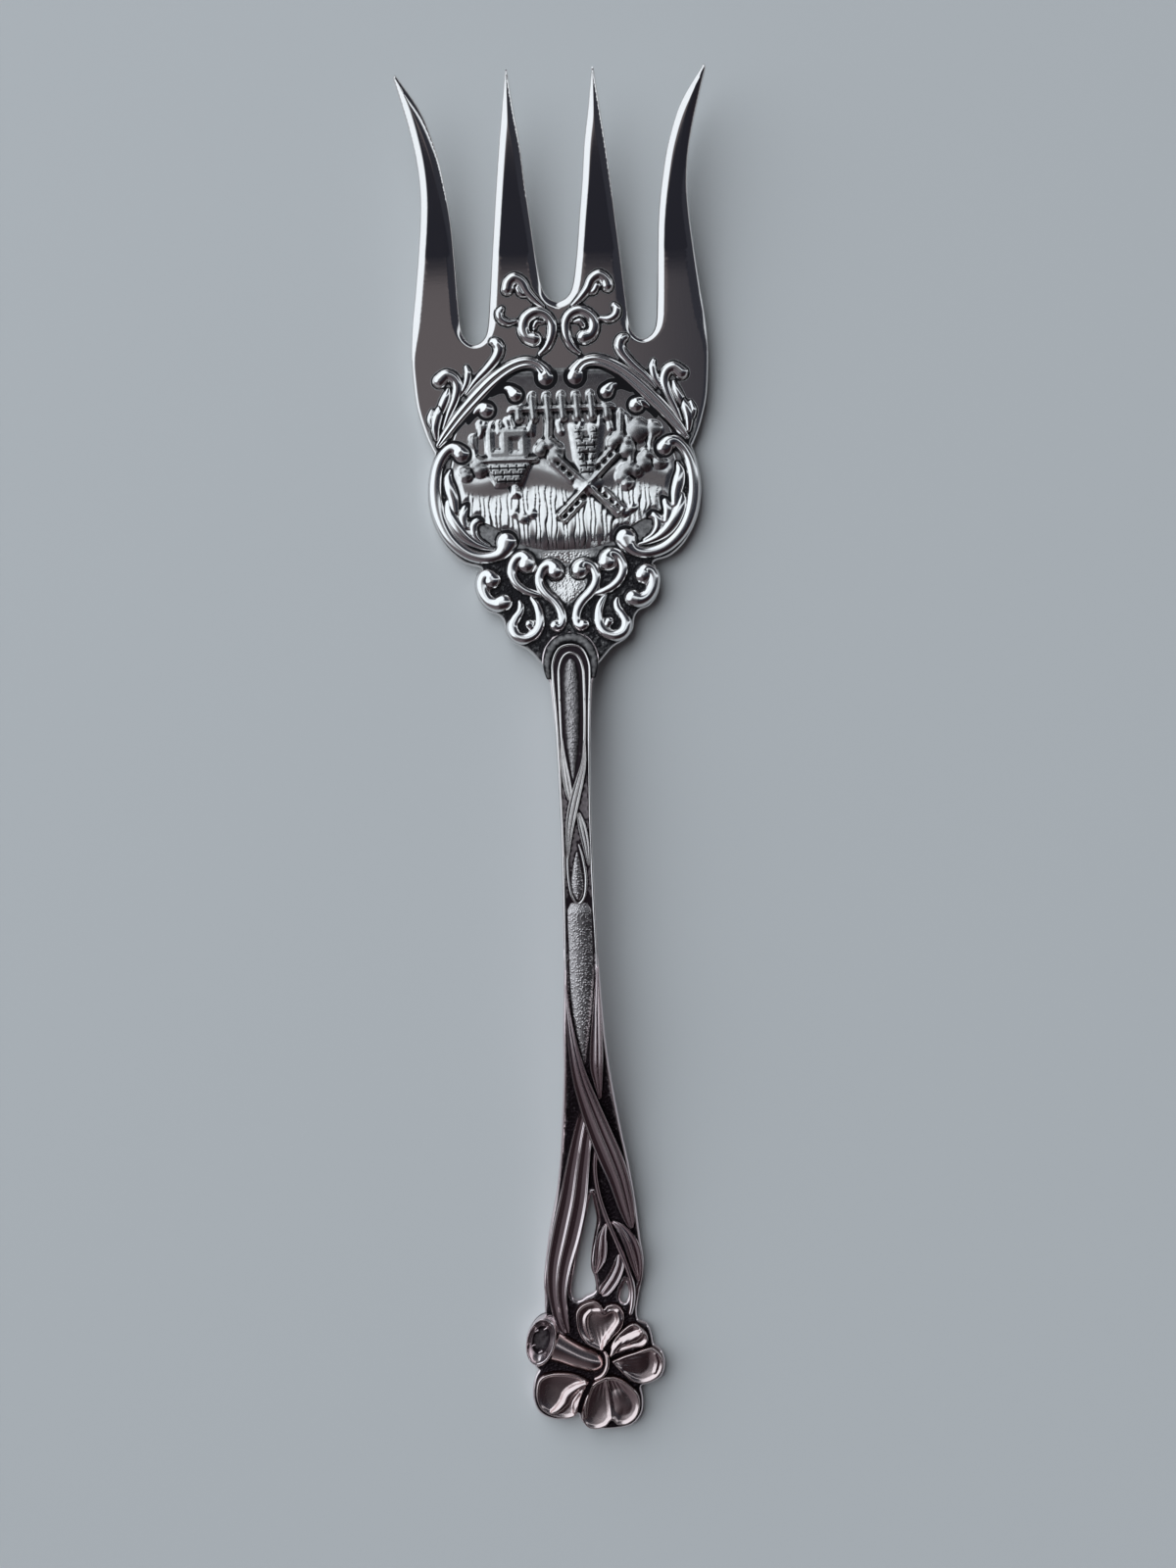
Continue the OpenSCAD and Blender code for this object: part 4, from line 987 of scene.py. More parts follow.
# %% The forms together, with their fine cuts
STREAK = 0.83
forms = blurred(np.maximum.reduce([hills, clouds, trees, cottage, mill, stacks, grass, fence]), 2)
on_roof = smooth(0.3, 0.6, roof) * (roof > wall)
on_tower = smooth(0.3, 0.5, tower)
courses = np.maximum(lines_of(pv, 1.0, 0.14), lines_of(px + 0.45 * np.floor(pv), 1.3, 0.12))
cut = 0.05 * sky * (forms < 0.1) * lines_of(streak, STREAK, 0.07)
cut += 0.06 * (on_roof + on_tower) * courses
saw = 0.17 * (((streak / STREAK + 0.5) % 1) * STREAK - 0.4) * sky * smooth(0.12, 0.02, forms)
picture = 0.08 * sky + forms - cut + saw
print("picture height, mm:", round(float(picture.max()), 2))


# %% The plaque with its picture
def lidded(points):
    """Faces of an open grid of points, with one face under it that closes it along its rim."""
    n, m = points.shape[:2]
    rim = ([j for j in range(m)] + [i * m + m - 1 for i in range(1, n)]
           + [(n - 1) * m + j for j in range(m - 2, -1, -1)] + [i * m for i in range(n - 2, 0, -1)])
    return points.reshape(-1, 3), grid_faces(n, m, False) + [rim[::-1]]


PLAQUE_T, PLAQUE_SUNK = 0.35, 0.04
sides_fade = smooth(0, 0.03, 1 - np.abs(spread))
ends_fade = (1 - np.clip((7.0 - rows) / 5.0, 0, 1) ** 2) * smooth(TOP_ROW, 28.6, rows)
rim_fade = sides_fade[None, :] * ends_fade[:, None]
plaque_y = pv + BOWL_Y
clear = trace_gap(np.stack([px.ravel(), plaque_y.ravel()], 1), scroll_traces).reshape(px.shape)
picture *= smooth(0.1, 0.9, clear)
dish = 0.36 * ((pv - 15) / 13) ** 2
thick = PLAQUE_T + PLAQUE_SUNK + dish + picture
plaque_z = head_top(plaque_y) - PLAQUE_SUNK + thick * rim_fade
hollow = smooth(0.0, 0.16, blurred(picture, 6) - picture) + smooth(0.02, 0.05, cut)
# Painted shade: the half of the picture towards the tines is darkened all over, a little more on
# its raised forms, for the dark room that its polished face reflects.
painted_dim_half = smooth(9.6, 12.5, pv) * (0.4 + 0.15 * smooth(0.1, 0.35, picture))
foot = 0.7 * smooth(27.4, 28.4, pv)
shade = np.maximum(1 - smooth(0.02, 0.4, clear), foot)
recess = np.clip(np.maximum(np.maximum(hollow, painted_dim_half), shade), 0, 1)
points, faces = lidded(np.stack([px, plaque_y, plaque_z], -1))
dressed("picture_plaque", [(points, faces, recess.reshape(-1))], relief, "oxidised_relief",
        ["scene_plaque", "scene_mill", "scene_cottage", "scene_trees", "scene_fence"], 60)
print("plaque points:", len(points))

# %% [markdown]
# ## The beaded shank
# The handle is a second plate, lap soldered over the tongue of the head. Fine beads run along its
# edges, and one bead makes a long loop that crosses itself like a ribbon and closes round a drop.
# So a bead is a thin round line, and where the ribbon crosses, a ribbed strap is laid over it.

# %% Beads, straps and blades along the handle
def both_sides(half_path):
    """A path that goes up the left side to the middle line and comes down the right one."""
    return np.vstack([np.array(half_path, float), mirrored(half_path[-2::-1])])


def sunken_top(y):
    """The handle's face, sunk a little under the foot of the drop, so that a panel rises out of it
    there."""
    return handle_top(y) - 0.3 * smooth(-22.0, -20.6, y)


def dipped_top(y):
    """The handle's face, sunk where the left blade dives under the right one."""
    return handle_top(y) - 0.55 * smooth(-58, -51.5, y)


BEAD_H, PANEL_H, BLADE_H = 0.26, 0.34, 1.2
OVER_H, UNDER_H = BEAD_H * 2.7, BEAD_H * 1.6
loop_line = [[-0.9, -4.9, 0.2], [-1.35, -2, 0.26], [-1.65, 2, 0.26], [-1.78, 6, 0.26],
             [-1.85, 12, 0.27], [-1.72, 14.4, 0.27], [-1.05, 16, 0.28], [0, 16.55, 0.28],
             [1.05, 16, 0.28], [1.72, 14.4, 0.27], [1.85, 12, 0.27], [1.75, 6, 0.26],
             [1.45, 1.5, 0.26], [0.75, -2, 0.26], [-0.05, -5, 0.26], [-0.75, -8, 0.26],
             [-1.2, -11, 0.26], [-1.45, -14, 0.27], [-1.42, -17, 0.27], [-1, -19.6, 0.27],
             [-0.1, -20.7, 0.27], [0.85, -19.6, 0.27], [1.15, -17, 0.27], [0.85, -14.3, 0.26],
             [0.2, -11.8, 0.18]]
beads = {
    "throat_arch": (beaded, "satin_silver", [(PAINTED_DARK_BAND, 0.42, both_sides(
        [[-3.35, 12.6, 0.25], [-3.5, 14.2, 0.54], [-3.42, 15.8, 0.62], [-2.78, 17.4, 0.7],
         [-1.5, 18.5, 0.74], [0, 18.85, 0.76]]))]),
    "edge_bead": (beaded, "satin_silver", [(BEAD, BEAD_H, both_sides(
        [[-2.3, -30.5, 0.15], [-2.12, -20, 0.25], [-2.05, -10, 0.25], [-2.2, 0, 0.25],
         [-2.5, 8, 0.25], [-2.78, 13, 0.26], [-2.65, 15.3, 0.27], [-1.7, 17.2, 0.28],
         [0, 17.75, 0.28]]))]),
    "bead_loop": (beaded, "satin_silver", [
        (BEAD, BEAD_H, loop_line),
        (RIBBON, OVER_H, [[1.66, 3.5, 0.15], [1.38, 0, 0.42], [0.7, -2.6, 0.66],
                          [-0.05, -5.2, 0.8], [-0.72, -8, 0.76], [-1.18, -11, 0.5],
                          [-1.45, -14, 0.2]]),
        (RIBBON, UNDER_H, [[-1.72, 4, 0.15], [-1.6, 1, 0.42], [-1.25, -2, 0.6], [-0.9, -4.4, 0.55],
                           [-0.7, -5.8, 0.2]])]),
    "bead_tail": (beaded, "satin_silver", [
        (RIBBON, UNDER_H, [[0.35, -7.2, 0.3], [0.85, -9.4, 0.62], [1.3, -12, 0.54],
                           [1.62, -15.2, 0.15]])]),
    "upper_panel": (punched, "stippled_silver", [(DIM_DOME, PANEL_H, [
        [0, 15.7, 0.4], [0, 14.8, 0.9], [-0.02, 12.5, 1.28], [-0.05, 8, 1.28], [-0.1, 4, 1.08],
        [-0.18, 0.5, 0.66], [-0.25, -2.4, 0.12]])]),
    "drop_panel": (punched, "stippled_silver", [(DOMED, PANEL_H, [
        [-0.05, -13, 0.15], [-0.15, -15.5, 0.6], [-0.15, -17.5, 0.88], [-0.1, -19.2, 0.72],
        [-0.1, -20.2, 0.2]])]),
    "lower_panel": (punched, "stippled_silver", [(DOMED, PANEL_H * 1.5, [
        [0, -20.55, 1.84], [0, -24, 1.84], [0.02, -27, 1.84], [0.02, -31, 1.84],
        [-0.05, -35, 1.66], [-0.1, -38.5, 1.3], [-0.1, -42, 0.7], [-0.05, -44.5, 0.15]])]),
    "right_blade": (satin, "satin_silver", [(BLADE, BLADE_H, [
        [-2.38, -32.5, 0.12], [-2.15, -37, 0.38], [-1.6, -42, 0.8], [-0.75, -46.5, 1.25],
        [0.5, -50.8, 1.65], [1.9, -55, 1.9], [3.2, -58.6, 1.95], [4.4, -62.2, 1.7],
        [5.3, -66, 1.35], [5.8, -68.4, 0.85], [6.1, -69.9, 0.25]])]),
    "left_blade_upper": (satin, "satin_silver", [(BLADE, BLADE_H * 0.75, [
        [2.35, -30, 0.12], [2.15, -34, 0.4], [1.95, -38, 0.75], [1.78, -42, 1.02], [1.7, -45, 1],
        [1.9, -47.5, 0.6], [2.05, -49.8, 0.2]])]),
    "left_blade_lower": (satin, "satin_silver", [(TWIN_BLADE, BLADE_H, [
        [0.7, -49.2, 0.9], [-0.15, -52.6, 1.3], [-0.9, -56, 1.6], [-1.65, -60, 1.9],
        [-2.5, -65, 2.2], [-3.7, -70, 2.25], [-4.95, -75, 1.9], [-5.35, -79, 1.5],
        [-4.9, -83, 1.2], [-4.2, -85.4, 0.7]])]),
    "stalk": (satin, "satin_silver", [(ROD, 1.05, [
        [1.3, -56.6, 0.3], [0.95, -59.4, 0.38], [1, -62, 0.42], [1.5, -65, 0.42],
        [2.5, -68.3, 0.42], [3.8, -71.8, 0.42], [5.1, -75.3, 0.42], [5.9, -78.4, 0.42],
        [5.8, -81, 0.42], [5.3, -82.9, 0.35]])]),
    "sheath_leaf": (satin, "satin_silver", [(LEAF, 1.25, [
        [3.2, -68.6, 0.2], [4.6, -69.7, 0.75], [5.75, -71.6, 1.1], [6.4, -73.8, 1.12],
        [6.75, -76, 0.72], [6.85, -77.9, 0.15]])]),
    "bud_leaf": (satin, "satin_silver", [(LEAF, 1.0, [
        [2.3, -68.9, 0.15], [1.7, -70.6, 0.65], [1.45, -72.5, 0.95], [1.2, -74.3, 0.85],
        [0.65, -75.9, 0.35], [0.3, -76.5, 0.12]])]),
    "short_leaf": (satin, "satin_silver", [(LEAF, 1.0, [
        [4.2, -73.6, 0.4], [3.95, -75.2, 0.9], [3.2, -76.9, 1.05], [2.15, -78.4, 1.05],
        [1.1, -79.7, 0.75]])]),
}
print("handle pieces drawn:", len(beads))

# %% Making the handle pieces
HANDLE_STEP = 0.15
seats = {"lower_panel": sunken_top, "left_blade_lower": dipped_top}
handle_traces = []
for kind, (finish, slot, strokes) in beads.items():
    flat_top = kind == "lower_panel"
    seat = seats.get(kind, handle_top)
    parts = [carried(path, profile, height, seat, HANDLE_STEP, (flat_top, False))
             for profile, height, path in strokes]
    if flat_top:
        shell, quads, dark = parts[0]
        parts = [(shell, quads, np.maximum(dark, 0.5 * smooth(-23.0, -20.4, shell[:, 1])))]
    handle_traces += [spline(path, 6) for _, _, path in strokes]
    dressed(f"chased_{kind}", parts, finish, slot, [kind], 60, 1.0 if finish is punched else 0.0)
handle_traces = np.vstack(handle_traces)
print("trace points of the handle:", len(handle_traces))

# %% [markdown]
# ## The handle plate
# Below the shank the plate opens between the blades in a pierced teardrop and a small eyelet, and
# it ends in the outline of the flower. It is filled as the head is, with the two openings as
# holes.

# %% Outline of the handle plate
FLOWER_Y = -90.0
arch_edge = raised([[0, 3.7], [2.5, 3], [3.8, 1.3], [4.2, -0.5], [3.8, -2.2], [3.1, -4]], NECK_Y)
shank_edge = raised([[2.8, -8], [2.4, -16], [2.3, -26], [2.4, -36], [2.6, -46],
                     [3.1, -56]], SHANK_Y)
spray_right = raised([[3.6, -1], [4.3, -6], [5.1, -11], [6, -16], [6.7, -21], [7.1, -25],
                      [7.4, -28], [7.7, -30.5], [7.5, -33], [6.9, -35.4]], SPRAY_Y)
flower_edges = [
    [[6.4, 8], [6.6, 6.3], [7.9, 5.6], [8.5, 4.2], [8.7, 2.8]],
    [[8.9, 2.4], [10, 1.4], [10.4, -0.4], [9.8, -2.3], [8.2, -3.3], [6.8, -3.6]],
    [[6.6, -4], [6.9, -5.6], [6.6, -7.8], [5, -9.5], [2, -10], [-0.8, -9.8], [-2.4, -8.7],
     [-2.8, -7.6]],
    [[-3, -7.5], [-4.6, -8.3], [-6.8, -8.2], [-8.8, -7], [-9.6, -4.7], [-9.3, -2.2], [-8.6, -0.8]],
    [[-9, -0.4], [-10, 1.4], [-10.3, 3.6], [-9.7, 5.6], [-8.6, 6.9], [-7.4, 7.5]]]
spray_left = raised([[-7.3, -35.4], [-7.3, -33], [-6.8, -29], [-6.1, -25], [-5.1, -20.5],
                     [-4.4, -16], [-3.9, -11], [-3.5, -6], [-3.2, -1]], SPRAY_Y)
teardrop = raised([[0.3, -20.2], [0.6, -22], [0.9, -24.3], [0.5, -26.5], [0, -29], [-0.2, -31.5],
                   [0.3, -33.2], [0.3, -35.2], [-1.1, -36], [-2.4, -36.6], [-3.2, -35.8],
                   [-3.2, -34], [-2.3, -30], [-1.1, -25.5], [-0.1, -21.5], [0.3, -20.2]], SPRAY_Y)
eyelet = raised([[4.9, -33.8], [5.3, -35], [5.2, -36.5], [4.6, -37.2], [4, -36.6], [4.2, -35.2],
                 [4.9, -33.8]], SPRAY_Y)
right_side = np.vstack([spline(arch_edge), spline(shank_edge), spline(spray_right)]
                       + [spline(raised(e, FLOWER_Y)) for e in flower_edges])
left_side = np.vstack([spline(spray_left), spline(mirrored(shank_edge[::-1])),
                       spline(mirrored(arch_edge[:0:-1]))])
handle_loops = [closed_loop(np.vstack([right_side, left_side]), 0.3)]
handle_loops += [closed_loop(spline(hole)[:-1], 0.25, True) for hole in (teardrop, eyelet)]
print("handle outline points:", [len(loop) for loop in handle_loops])


# %% Heights of the handle plate
SOLDER = 0.02


def rim_line(p, gap, end, start):
    """A fine line inside the edge beside the blades, which fades in below the shank and out between
    two places along the fork: a bell of the distance to the edge."""
    bell_in = np.exp(-(((gap - 0.34) / 0.16) ** 2))
    return bell_in * smooth(-27, -31, p[:, 1]) * smooth(end, start, p[:, 1])


def handle_face(p, gap):
    """The face with a small round at its edges, a fine raised line inside the edge beside the
    blades, and a broader round at the flower."""
    at_flower = smooth(-78, -84, p[:, 1])
    drop = (0.14 + 0.2 * at_flower) * edge_round(gap, 0.2 + 0.25 * at_flower)
    return handle_top(p[:, 1]) + 0.22 * rim_line(p, gap, -80, -70) - drop


def handle_under(p, gap):
    """Over the tongue the back clears the head by the solder; behind it, the back turns up a little
    at the edge."""
    lapped = head_arc(p[:, 1], HEAD_T) + SOLDER
    return np.where(p[:, 1] > LAP_Y, lapped, handle_back(p[:, 1]) + 0.35 * edge_round(gap, 0.5))


print("rise of the handle, mm:", ARCH_H)

# %% The handle plate and its black
HANDLE_RINGS = [0.14, 0.24, 0.34, 0.45, 0.6]
points, faces, flat, gap = plate(handle_loops, HANDLE_RINGS, handle_face, handle_under)
in_spray = smooth(-32, -44, flat[:, 1])
ground = 0.68 + 0.18 * np.maximum(smooth(-6, 0, flat[:, 1]), in_spray)
shade = 1 - smooth(0.0, 0.4 + 0.4 * in_spray, trace_gap(flat, handle_traces))
rubbed_rim = smooth(0.1, 0.3, gap) * (1 - 0.8 * rim_line(flat, gap, -82, -78))
black = np.maximum(ground, shade) * rubbed_rim
recess = np.concatenate([black, np.full(len(flat), 0.15)])
matte = np.concatenate([smooth(0.3, 0.6, gap) * smooth(-20, -30, flat[:, 1]), np.zeros(len(flat))])
dressed("satin_handle_plate", [(points, faces, recess)], satin, "satin_silver",
        ["handle_plate"], 30, matte)
print("handle plate points:", len(points))

# %% [markdown]
# ## The flower
# The flower has five petals and a trumpet that leans to one side. A petal is filled from its
# outline, as a plate is. Its height is a level less a cup that deepens away from the edge, with a
# rolled rim just inside the edge, folds that stand up round drawn lines, and fine lines that fan
# out from the flower's heart.

# %% Petals
FLOWER_HEART = np.array([1.4, -89.8])
PETAL_RINGS, PETAL_PITCH = [0.07, 0.16, 0.28, 0.42, 0.6], 0.16
PETAL_H, PETAL_RIM, PETAL_CUP, PETAL_LINES = 1.05, 0.24, 0.34, 46


def petal(outline, folds):
    """A petal: its level + its rim times a bell of the distance to the edge - its depth times a cup
    + folds + lines. A fold is its height times 1 - q squared, and the lines are a cosine of the
    angle round the flower's heart."""
    loop = closed_loop(spline(outline + outline[:1]), 0.13)
    flat, faces, sides = filled([loop], PETAL_RINGS, PETAL_PITCH)
    gap = edge_distance(flat, [loop])
    way = flat - FLOWER_HEART
    out = np.hypot(way[:, 0], way[:, 1])
    fan = np.cos(PETAL_LINES * np.arctan2(way[:, 1], way[:, 0]))
    fan *= smooth(0.5, 1.4, out) * smooth(6.4, 3.2, out)
    cup = 1 - np.exp(-((gap / 1.5) ** 2))
    fold = np.zeros(len(flat))
    for rise, path in folds:
        q = nearest_way(flat, spline(np.array(path) * [1, 1, 1.3], 6))[:, 0]
        fold = np.maximum(fold, 0.75 * rise * np.clip(1 - q**2, 0, 1))
    rolled = PETAL_RIM * np.exp(-(((gap - 0.28) / 0.22) ** 2))
    z = PETAL_H + rolled - PETAL_CUP * cup + fold + 0.035 * fan * smooth(0.3, 0.8, gap)
    ground = handle_top(flat[:, 1])
    top, under = ground + z * smooth(0, 0.16, gap), ground - SUNK
    points, faces = closed_over(flat, faces, sides, top, under)
    # Black of a petal: oxide at its edge and in the grooves of the fanned lines, less on the folds;
    # in the cups and towards the flower's heart it is partly oxide and partly painted shade.
    dark = 1 - smooth(0.03, 0.2, gap) + 0.56 * smooth(0.1, 0.8, cup) + 0.4 * smooth(1.6, 0.4, out)
    dark += -0.12 * fan - 0.9 * fold
    return points, faces, np.concatenate([np.clip(dark, 0, 1), np.ones(len(flat))])


flower = {
    "top_petal": petal(
        [[0.9, -88], [-1.2, -86.9], [-2.4, -85.2], [-2.8, -83.2], [-2.6, -81.7], [-1.5, -80.7],
         [0.1, -80.35], [1.1, -80.9], [1.45, -81.6], [1.9, -81.1], [3.1, -80.9], [4.2, -81.7],
         [4.6, -83], [4.1, -84.6], [2.8, -86], [1.6, -87.2]],
        [(0.55, [[3.5, -82.1, 0.3], [3.7, -83.5, 0.4], [2.7, -85, 0.42], [1.6, -86.3, 0.38],
                 [1.1, -87.6, 0.2]]),
         (0.4, [[-0.5, -82, 0.25], [-1.2, -82.9, 0.32], [-1.15, -84.5, 0.3], [-0.5, -86.2, 0.2]]),
         (0.3, [[-0.5, -82, 0.25], [0.7, -82, 0.26], [1.45, -82.5, 0.26], [2.4, -82, 0.26],
                [3.5, -82.1, 0.25]])]),
    "upper_right_petal": petal(
        [[2, -88.9], [2.2, -87.2], [3.3, -85.6], [4.8, -84.3], [5.9, -83.9], [6.9, -84.5],
         [7.8, -85.5], [8, -86.7], [7.2, -87.5], [5.6, -87.7], [3.8, -88.2]],
        [(0.8, [[2.3, -88.5, 0.25], [3.4, -87.1, 0.5], [5.2, -86.3, 0.62], [6.5, -85.8, 0.6],
                [7, -85.2, 0.35]])]),
    "right_petal": petal(
        [[2.2, -89.5], [4, -88.7], [6.2, -88.1], [8.1, -87.6], [9.3, -88.2], [10.05, -89.3],
         [10.1, -90.8], [9.2, -92.2], [7.4, -93], [5.6, -92.8], [4, -91.5]],
        [(0.35, [[4.3, -89.9, 0.9], [6.4, -89.9, 1.2]]),
         (0.3, [[8.9, -88.7, 0.22], [9.2, -89.9, 0.26], [8.8, -91.4, 0.2]])]),
    "bottom_petal": petal(
        [[1.3, -91.7], [-0.6, -92.7], [-1.7, -94.6], [-2.4, -96.6], [-2.4, -98.1], [-1.6, -99.3],
         [-0.2, -99.65], [1.3, -99.2], [2.1, -98.4], [2.9, -99.1], [4.4, -99.1], [5.9, -98],
         [6.5, -96.2], [6.1, -94.3], [4.6, -92.7], [2.8, -91.8]],
        [(0.45, [[-0.9, -93, 0.25], [-1.5, -94.6, 0.36], [-1.9, -96.4, 0.36],
                 [-1.9, -97.6, 0.25]]),
         (0.35, [[1.5, -92.4, 0.2], [1.9, -95, 0.38], [2.05, -97.8, 0.32]]),
         (0.25, [[3.2, -95, 1], [3.8, -96.2, 1.1]])]),
    "lower_left_petal": petal(
        [[-0.9, -92.4], [-2.9, -91.3], [-5.2, -90.9], [-7.2, -91], [-8.6, -91.8], [-9.1, -93.4],
         [-9, -95.2], [-8.2, -96.6], [-6.4, -97.6], [-4.4, -97.9], [-3, -97.3], [-2.7, -96],
         [-2.1, -94.3]],
        [(0.85, [[-1.7, -92.6, 0.3], [-3.1, -93.3, 0.55], [-4.3, -94.3, 0.68], [-4.9, -95.5, 0.66],
                 [-5.9, -96.4, 0.5], [-6.7, -96.7, 0.25]]),
         (0.5, [[-2.4, -94.3, 0.2], [-3.1, -95.6, 0.4], [-3.4, -96.8, 0.3]])]),
}
for kind, part in flower.items():
    dressed(f"rolled_{kind}", [part], petals, "satin_silver", [kind], 60)
print("petals:", len(flower))

# %% [markdown]
# ## The trumpet
# The trumpet is a tube from the flower's heart to an oval mouth, with a turned lip at the heart.
# The tube is a round section carried along its middle line. The mouth is one profile carried round
# an oval: up the flare, over the lip and down to a floor that keeps its black, where four stamens
# lie.

# %% Tube, mouth and stamens
tube = carried([[1.2, -90.0, 1.6], [-0.6, -89.55, 1.85], [-2.6, -88.85, 1.95], [-4.6, -87.9, 2.15],
                [-6.3, -87.1, 2.5]],
               ROUND, 1.9, handle_top, 0.15, (False, True))
lip = carried([[1.3, -87.8, 0.2], [1.75, -88.9, 0.29], [1.65, -90.3, 0.32], [0.9, -91.5, 0.29],
               [-0.4, -92.1, 0.2]],
              WALLED, 1.75, handle_top, 0.1)
dressed("smooth_trumpet_tube", [tube, lip], petals, "satin_silver", ["trumpet_tube"], 60)
MOUTH, MOUTH_R, MOUTH_TURN = np.array([-8.15, -85.9]), np.array([2.0, 3.4]), math.radians(-14)


def oval(scale, turn):
    """A point on the mouth's oval: its two half-widths times cosine and sine, turned and moved."""
    x, y = MOUTH_R[0] * scale * np.cos(turn), MOUTH_R[1] * scale * np.sin(turn)
    c, s = math.cos(MOUTH_TURN), math.sin(MOUTH_TURN)
    return np.stack([MOUTH[0] + x * c - y * s, MOUTH[1] + x * s + y * c], -1)


# From the outer foot over the lip and down the throat to the floor. Each row is the scale of the
# oval, its height, its shift towards the flower and its recess.
throat = np.array([[1.16, -SUNK, 0.42, 1], [1.17, 0.7, 0.42, 0.7], [1.15, 1.3, 0.36, 0.3],
                   [1.1, 1.8, 0.22, 0.2], [1.05, 2.12, 0.1, 0.05], [1.0, 2.25, 0, 0],
                   [0.95, 2.15, 0, 0], [0.9, 1.9, 0, 0.15], [0.8, 1.55, 0.02, 0.35],
                   [0.68, 1.2, 0.06, 0.6], [0.6, 1.0, 0.1, 0.9], [0.5, 0.92, 0.1, 0.8],
                   [0.25, 0.9, 0.1, 0.74], [0.02, 0.9, 0.1, 0.74]])
throat = spline(throat, 4)
turn = np.linspace(0, 2 * np.pi, 96, endpoint=False)
mouth_xy = oval(throat[:, :1], turn[None, :]) + throat[:, 2, None, None] * np.array([1.0, -0.2])
mouth_z = handle_top(mouth_xy[..., 1]) + throat[:, 1:2]
mouth_points = np.concatenate([mouth_xy, mouth_z[..., None]], -1).reshape(-1, 3)
n, m = len(throat), len(turn)
mouth_faces = grid_faces(n, m, True) + end_caps(n, m)
mouth_dark = np.repeat(np.clip(throat[:, 3], 0, 1), m)
dressed("trumpet_mouth", [(mouth_points, mouth_faces, mouth_dark)], satin, "satin_silver",
        ["trumpet_rim"], 60)
dots = [oval(0.55, math.radians(a)) for a in (70, 140, 215, 290)]
stamens = [modelled([[[x - 0.22, y - 0.12, 0.18], [x + 0.22, y + 0.12, 0.26]]], round_back, 1.3,
                    lambda y: handle_top(y) + 0.85, 0.06) for x, y in dots]
dressed("stamens_in_the_mouth", stamens, satin, "satin_silver", ["stamens"])
print("mouth at, mm:", MOUTH.round(1))

# %% [markdown]
# ## Floor, light and camera
# The fork lies on a plain pale floor under soft light. Polished silver shows what is round it, so
# the light matters as much as the finish. Lamps would show as small spots in it, so the world
# itself is the light: a broad bright side towards the upper left, as from a window, a narrow
# bright strip that only reflections see, and a dim, warm side overhead and towards the viewer,
# with a paler horizon. What the camera sees past the floor is a plain pale backdrop. The camera
# looks straight down.

# %% The floor
floor = bpy.data.objects.new("floor", bpy.data.meshes.new("floor"))
FLOOR_HALF, FLOOR_COLOUR, FLOOR_ROUGHNESS = 1.5, (0.47, 0.475, 0.47, 1), 0.6
corners = FLOOR_HALF * np.array([[-1, -1, 0], [1, -1, 0], [1, 1, 0], [-1, 1, 0]])
floor.data.from_pydata(corners.tolist(), [], [[0, 1, 2, 3]])
bpy.context.scene.collection.objects.link(floor)
pale = bpy.data.materials.new("pale_floor")
pale.use_nodes = True
pale_shader = pale.node_tree.nodes["Principled BSDF"]
pale_shader.inputs["Base Color"].default_value = FLOOR_COLOUR
pale_shader.inputs["Roughness"].default_value = FLOOR_ROUGHNESS
floor.data.materials.append(pale)
print("floor half-width, m:", FLOOR_HALF)

# %% The light
BRIGHT_SIDE = Vector((-0.68, 0.50, 0.53)).normalized()
WINDOW, SEEN_WINDOW = (2.6, 2.85, 3.1, 1), (1.04, 1.13, 1.2, 1)
CEILING, CEILING_RIGHT = (0.128, 0.117, 0.124, 1), (0.034, 0.036, 0.047, 1)
VIEWER_NEAR = (0.02, 0.021, 0.029, 1)
VIEWER_LEFT, VIEWER_RIGHT = (0.13, 0.113, 0.127, 1), (0.022, 0.014, 0.017, 1)
HORIZON, BACKDROP = (0.2, 0.2, 0.21, 1), (0.40, 0.435, 0.465, 1)
world = bpy.data.worlds.new("studio")
bpy.context.scene.world = world
world.use_nodes = True
sky_tree = world.node_tree
way_in = sky_tree.nodes.new("ShaderNodeTexCoord")
aim = sky_tree.nodes.new("ShaderNodeVectorMath")
aim.operation = "DOT_PRODUCT"
aim.inputs[1].default_value = BRIGHT_SIDE
sky_tree.links.new(way_in.outputs["Generated"], aim.inputs[0])
parted = sky_tree.nodes.new("ShaderNodeSeparateXYZ")
sky_tree.links.new(way_in.outputs["Generated"], parted.inputs["Vector"])
sideways, along, upwards = (parted.outputs[axis] for axis in "XYZ")
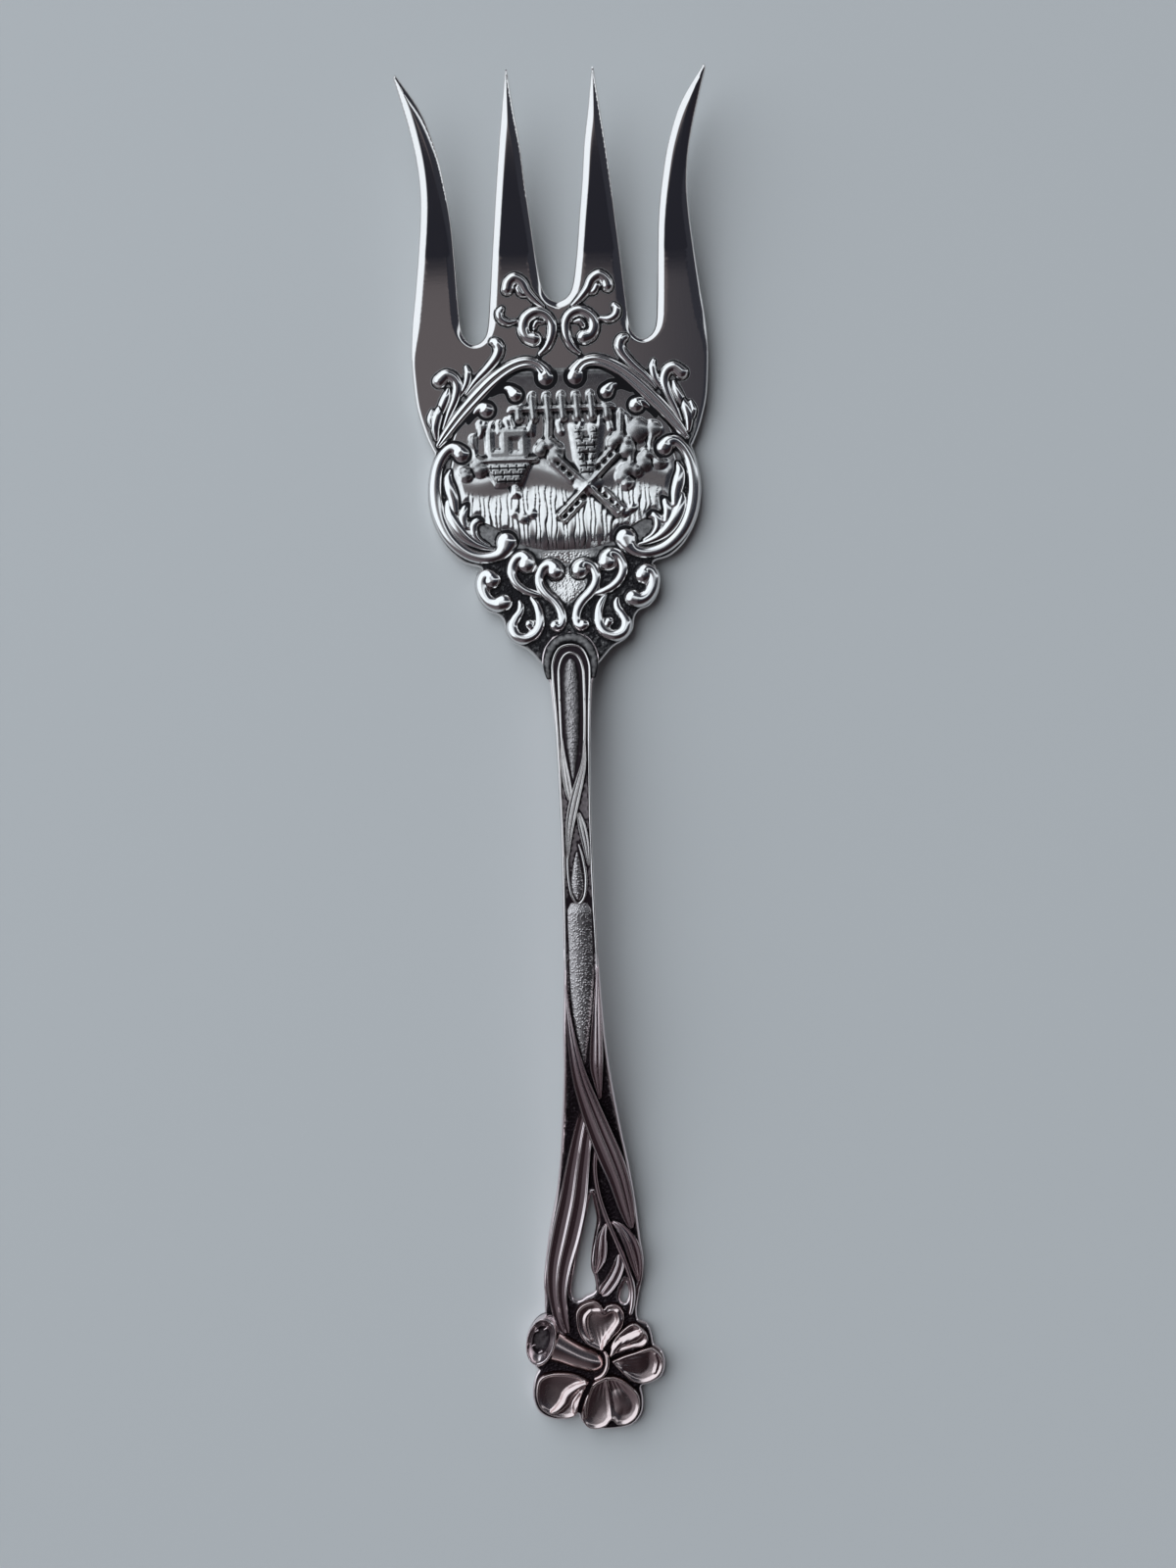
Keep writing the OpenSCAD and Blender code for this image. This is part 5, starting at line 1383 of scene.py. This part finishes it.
print("bright side:", [round(c, 2) for c in BRIGHT_SIDE])


# %% The dim sides of the room
def turned(value, low, high):
    """How far a direction has turned from low to high, as a share from 0 to 1."""
    return ranged(sky_tree, value, low, high, 0.0, 1.0)


viewer_far = blended(sky_tree, turned(sideways, -0.24, 0.06), VIEWER_LEFT, VIEWER_RIGHT)
viewer = blended(sky_tree, turned(along, -0.22, -0.1), viewer_far, VIEWER_NEAR)
ceiling = blended(sky_tree, turned(sideways, 0.0, 0.08), CEILING, CEILING_RIGHT)
overhead = blended(sky_tree, turned(along, -0.036, -0.02), viewer, ceiling)
overhead = blended(sky_tree, turned(upwards, 0.42, 0.1), overhead, HORIZON)
print("dim colours:", [CEILING[:3], CEILING_RIGHT[:3], VIEWER_NEAR[:3]])

# %% The window, the strip and the backdrop
ray = sky_tree.nodes.new("ShaderNodeLightPath")
glossy = ray.outputs["Is Glossy Ray"]
window = blended(sky_tree, glossy, WINDOW, SEEN_WINDOW)
strip = math_node(sky_tree, "MULTIPLY", ranged(sky_tree, along, 0.185, 0.245, 0.0, 0.85),
                  turned(along, 0.36, 0.30))
strip = math_node(sky_tree, "MULTIPLY", strip, glossy)
bright = math_node(sky_tree, "MAXIMUM", turned(aim.outputs["Value"], 0.65, 0.73), strip)
round_view = blended(sky_tree, bright, overhead, window)
round_view = blended(sky_tree, ray.outputs["Is Camera Ray"], round_view, BACKDROP)
sky_tree.links.new(round_view, sky_tree.nodes["Background"].inputs["Color"])
sky_tree.nodes["Background"].inputs["Strength"].default_value = 1.0
print("nodes of the light:", len(sky_tree.nodes))

# %% The camera
eye = bpy.data.cameras.new("above")
eye.lens, eye.sensor_width = 45.0, 36.0
eye.clip_start = 0.01
eye.dof.use_dof = False
camera = bpy.data.objects.new("above", eye)
camera.location = (0.001941, -0.004071, 0.296)
camera.rotation_euler = (0.0, 0.0, math.radians(-2.05))
bpy.context.scene.collection.objects.link(camera)
bpy.context.scene.camera = camera
bpy.context.scene.view_settings.view_transform = "Standard"
print("camera height, m:", camera.location.z)
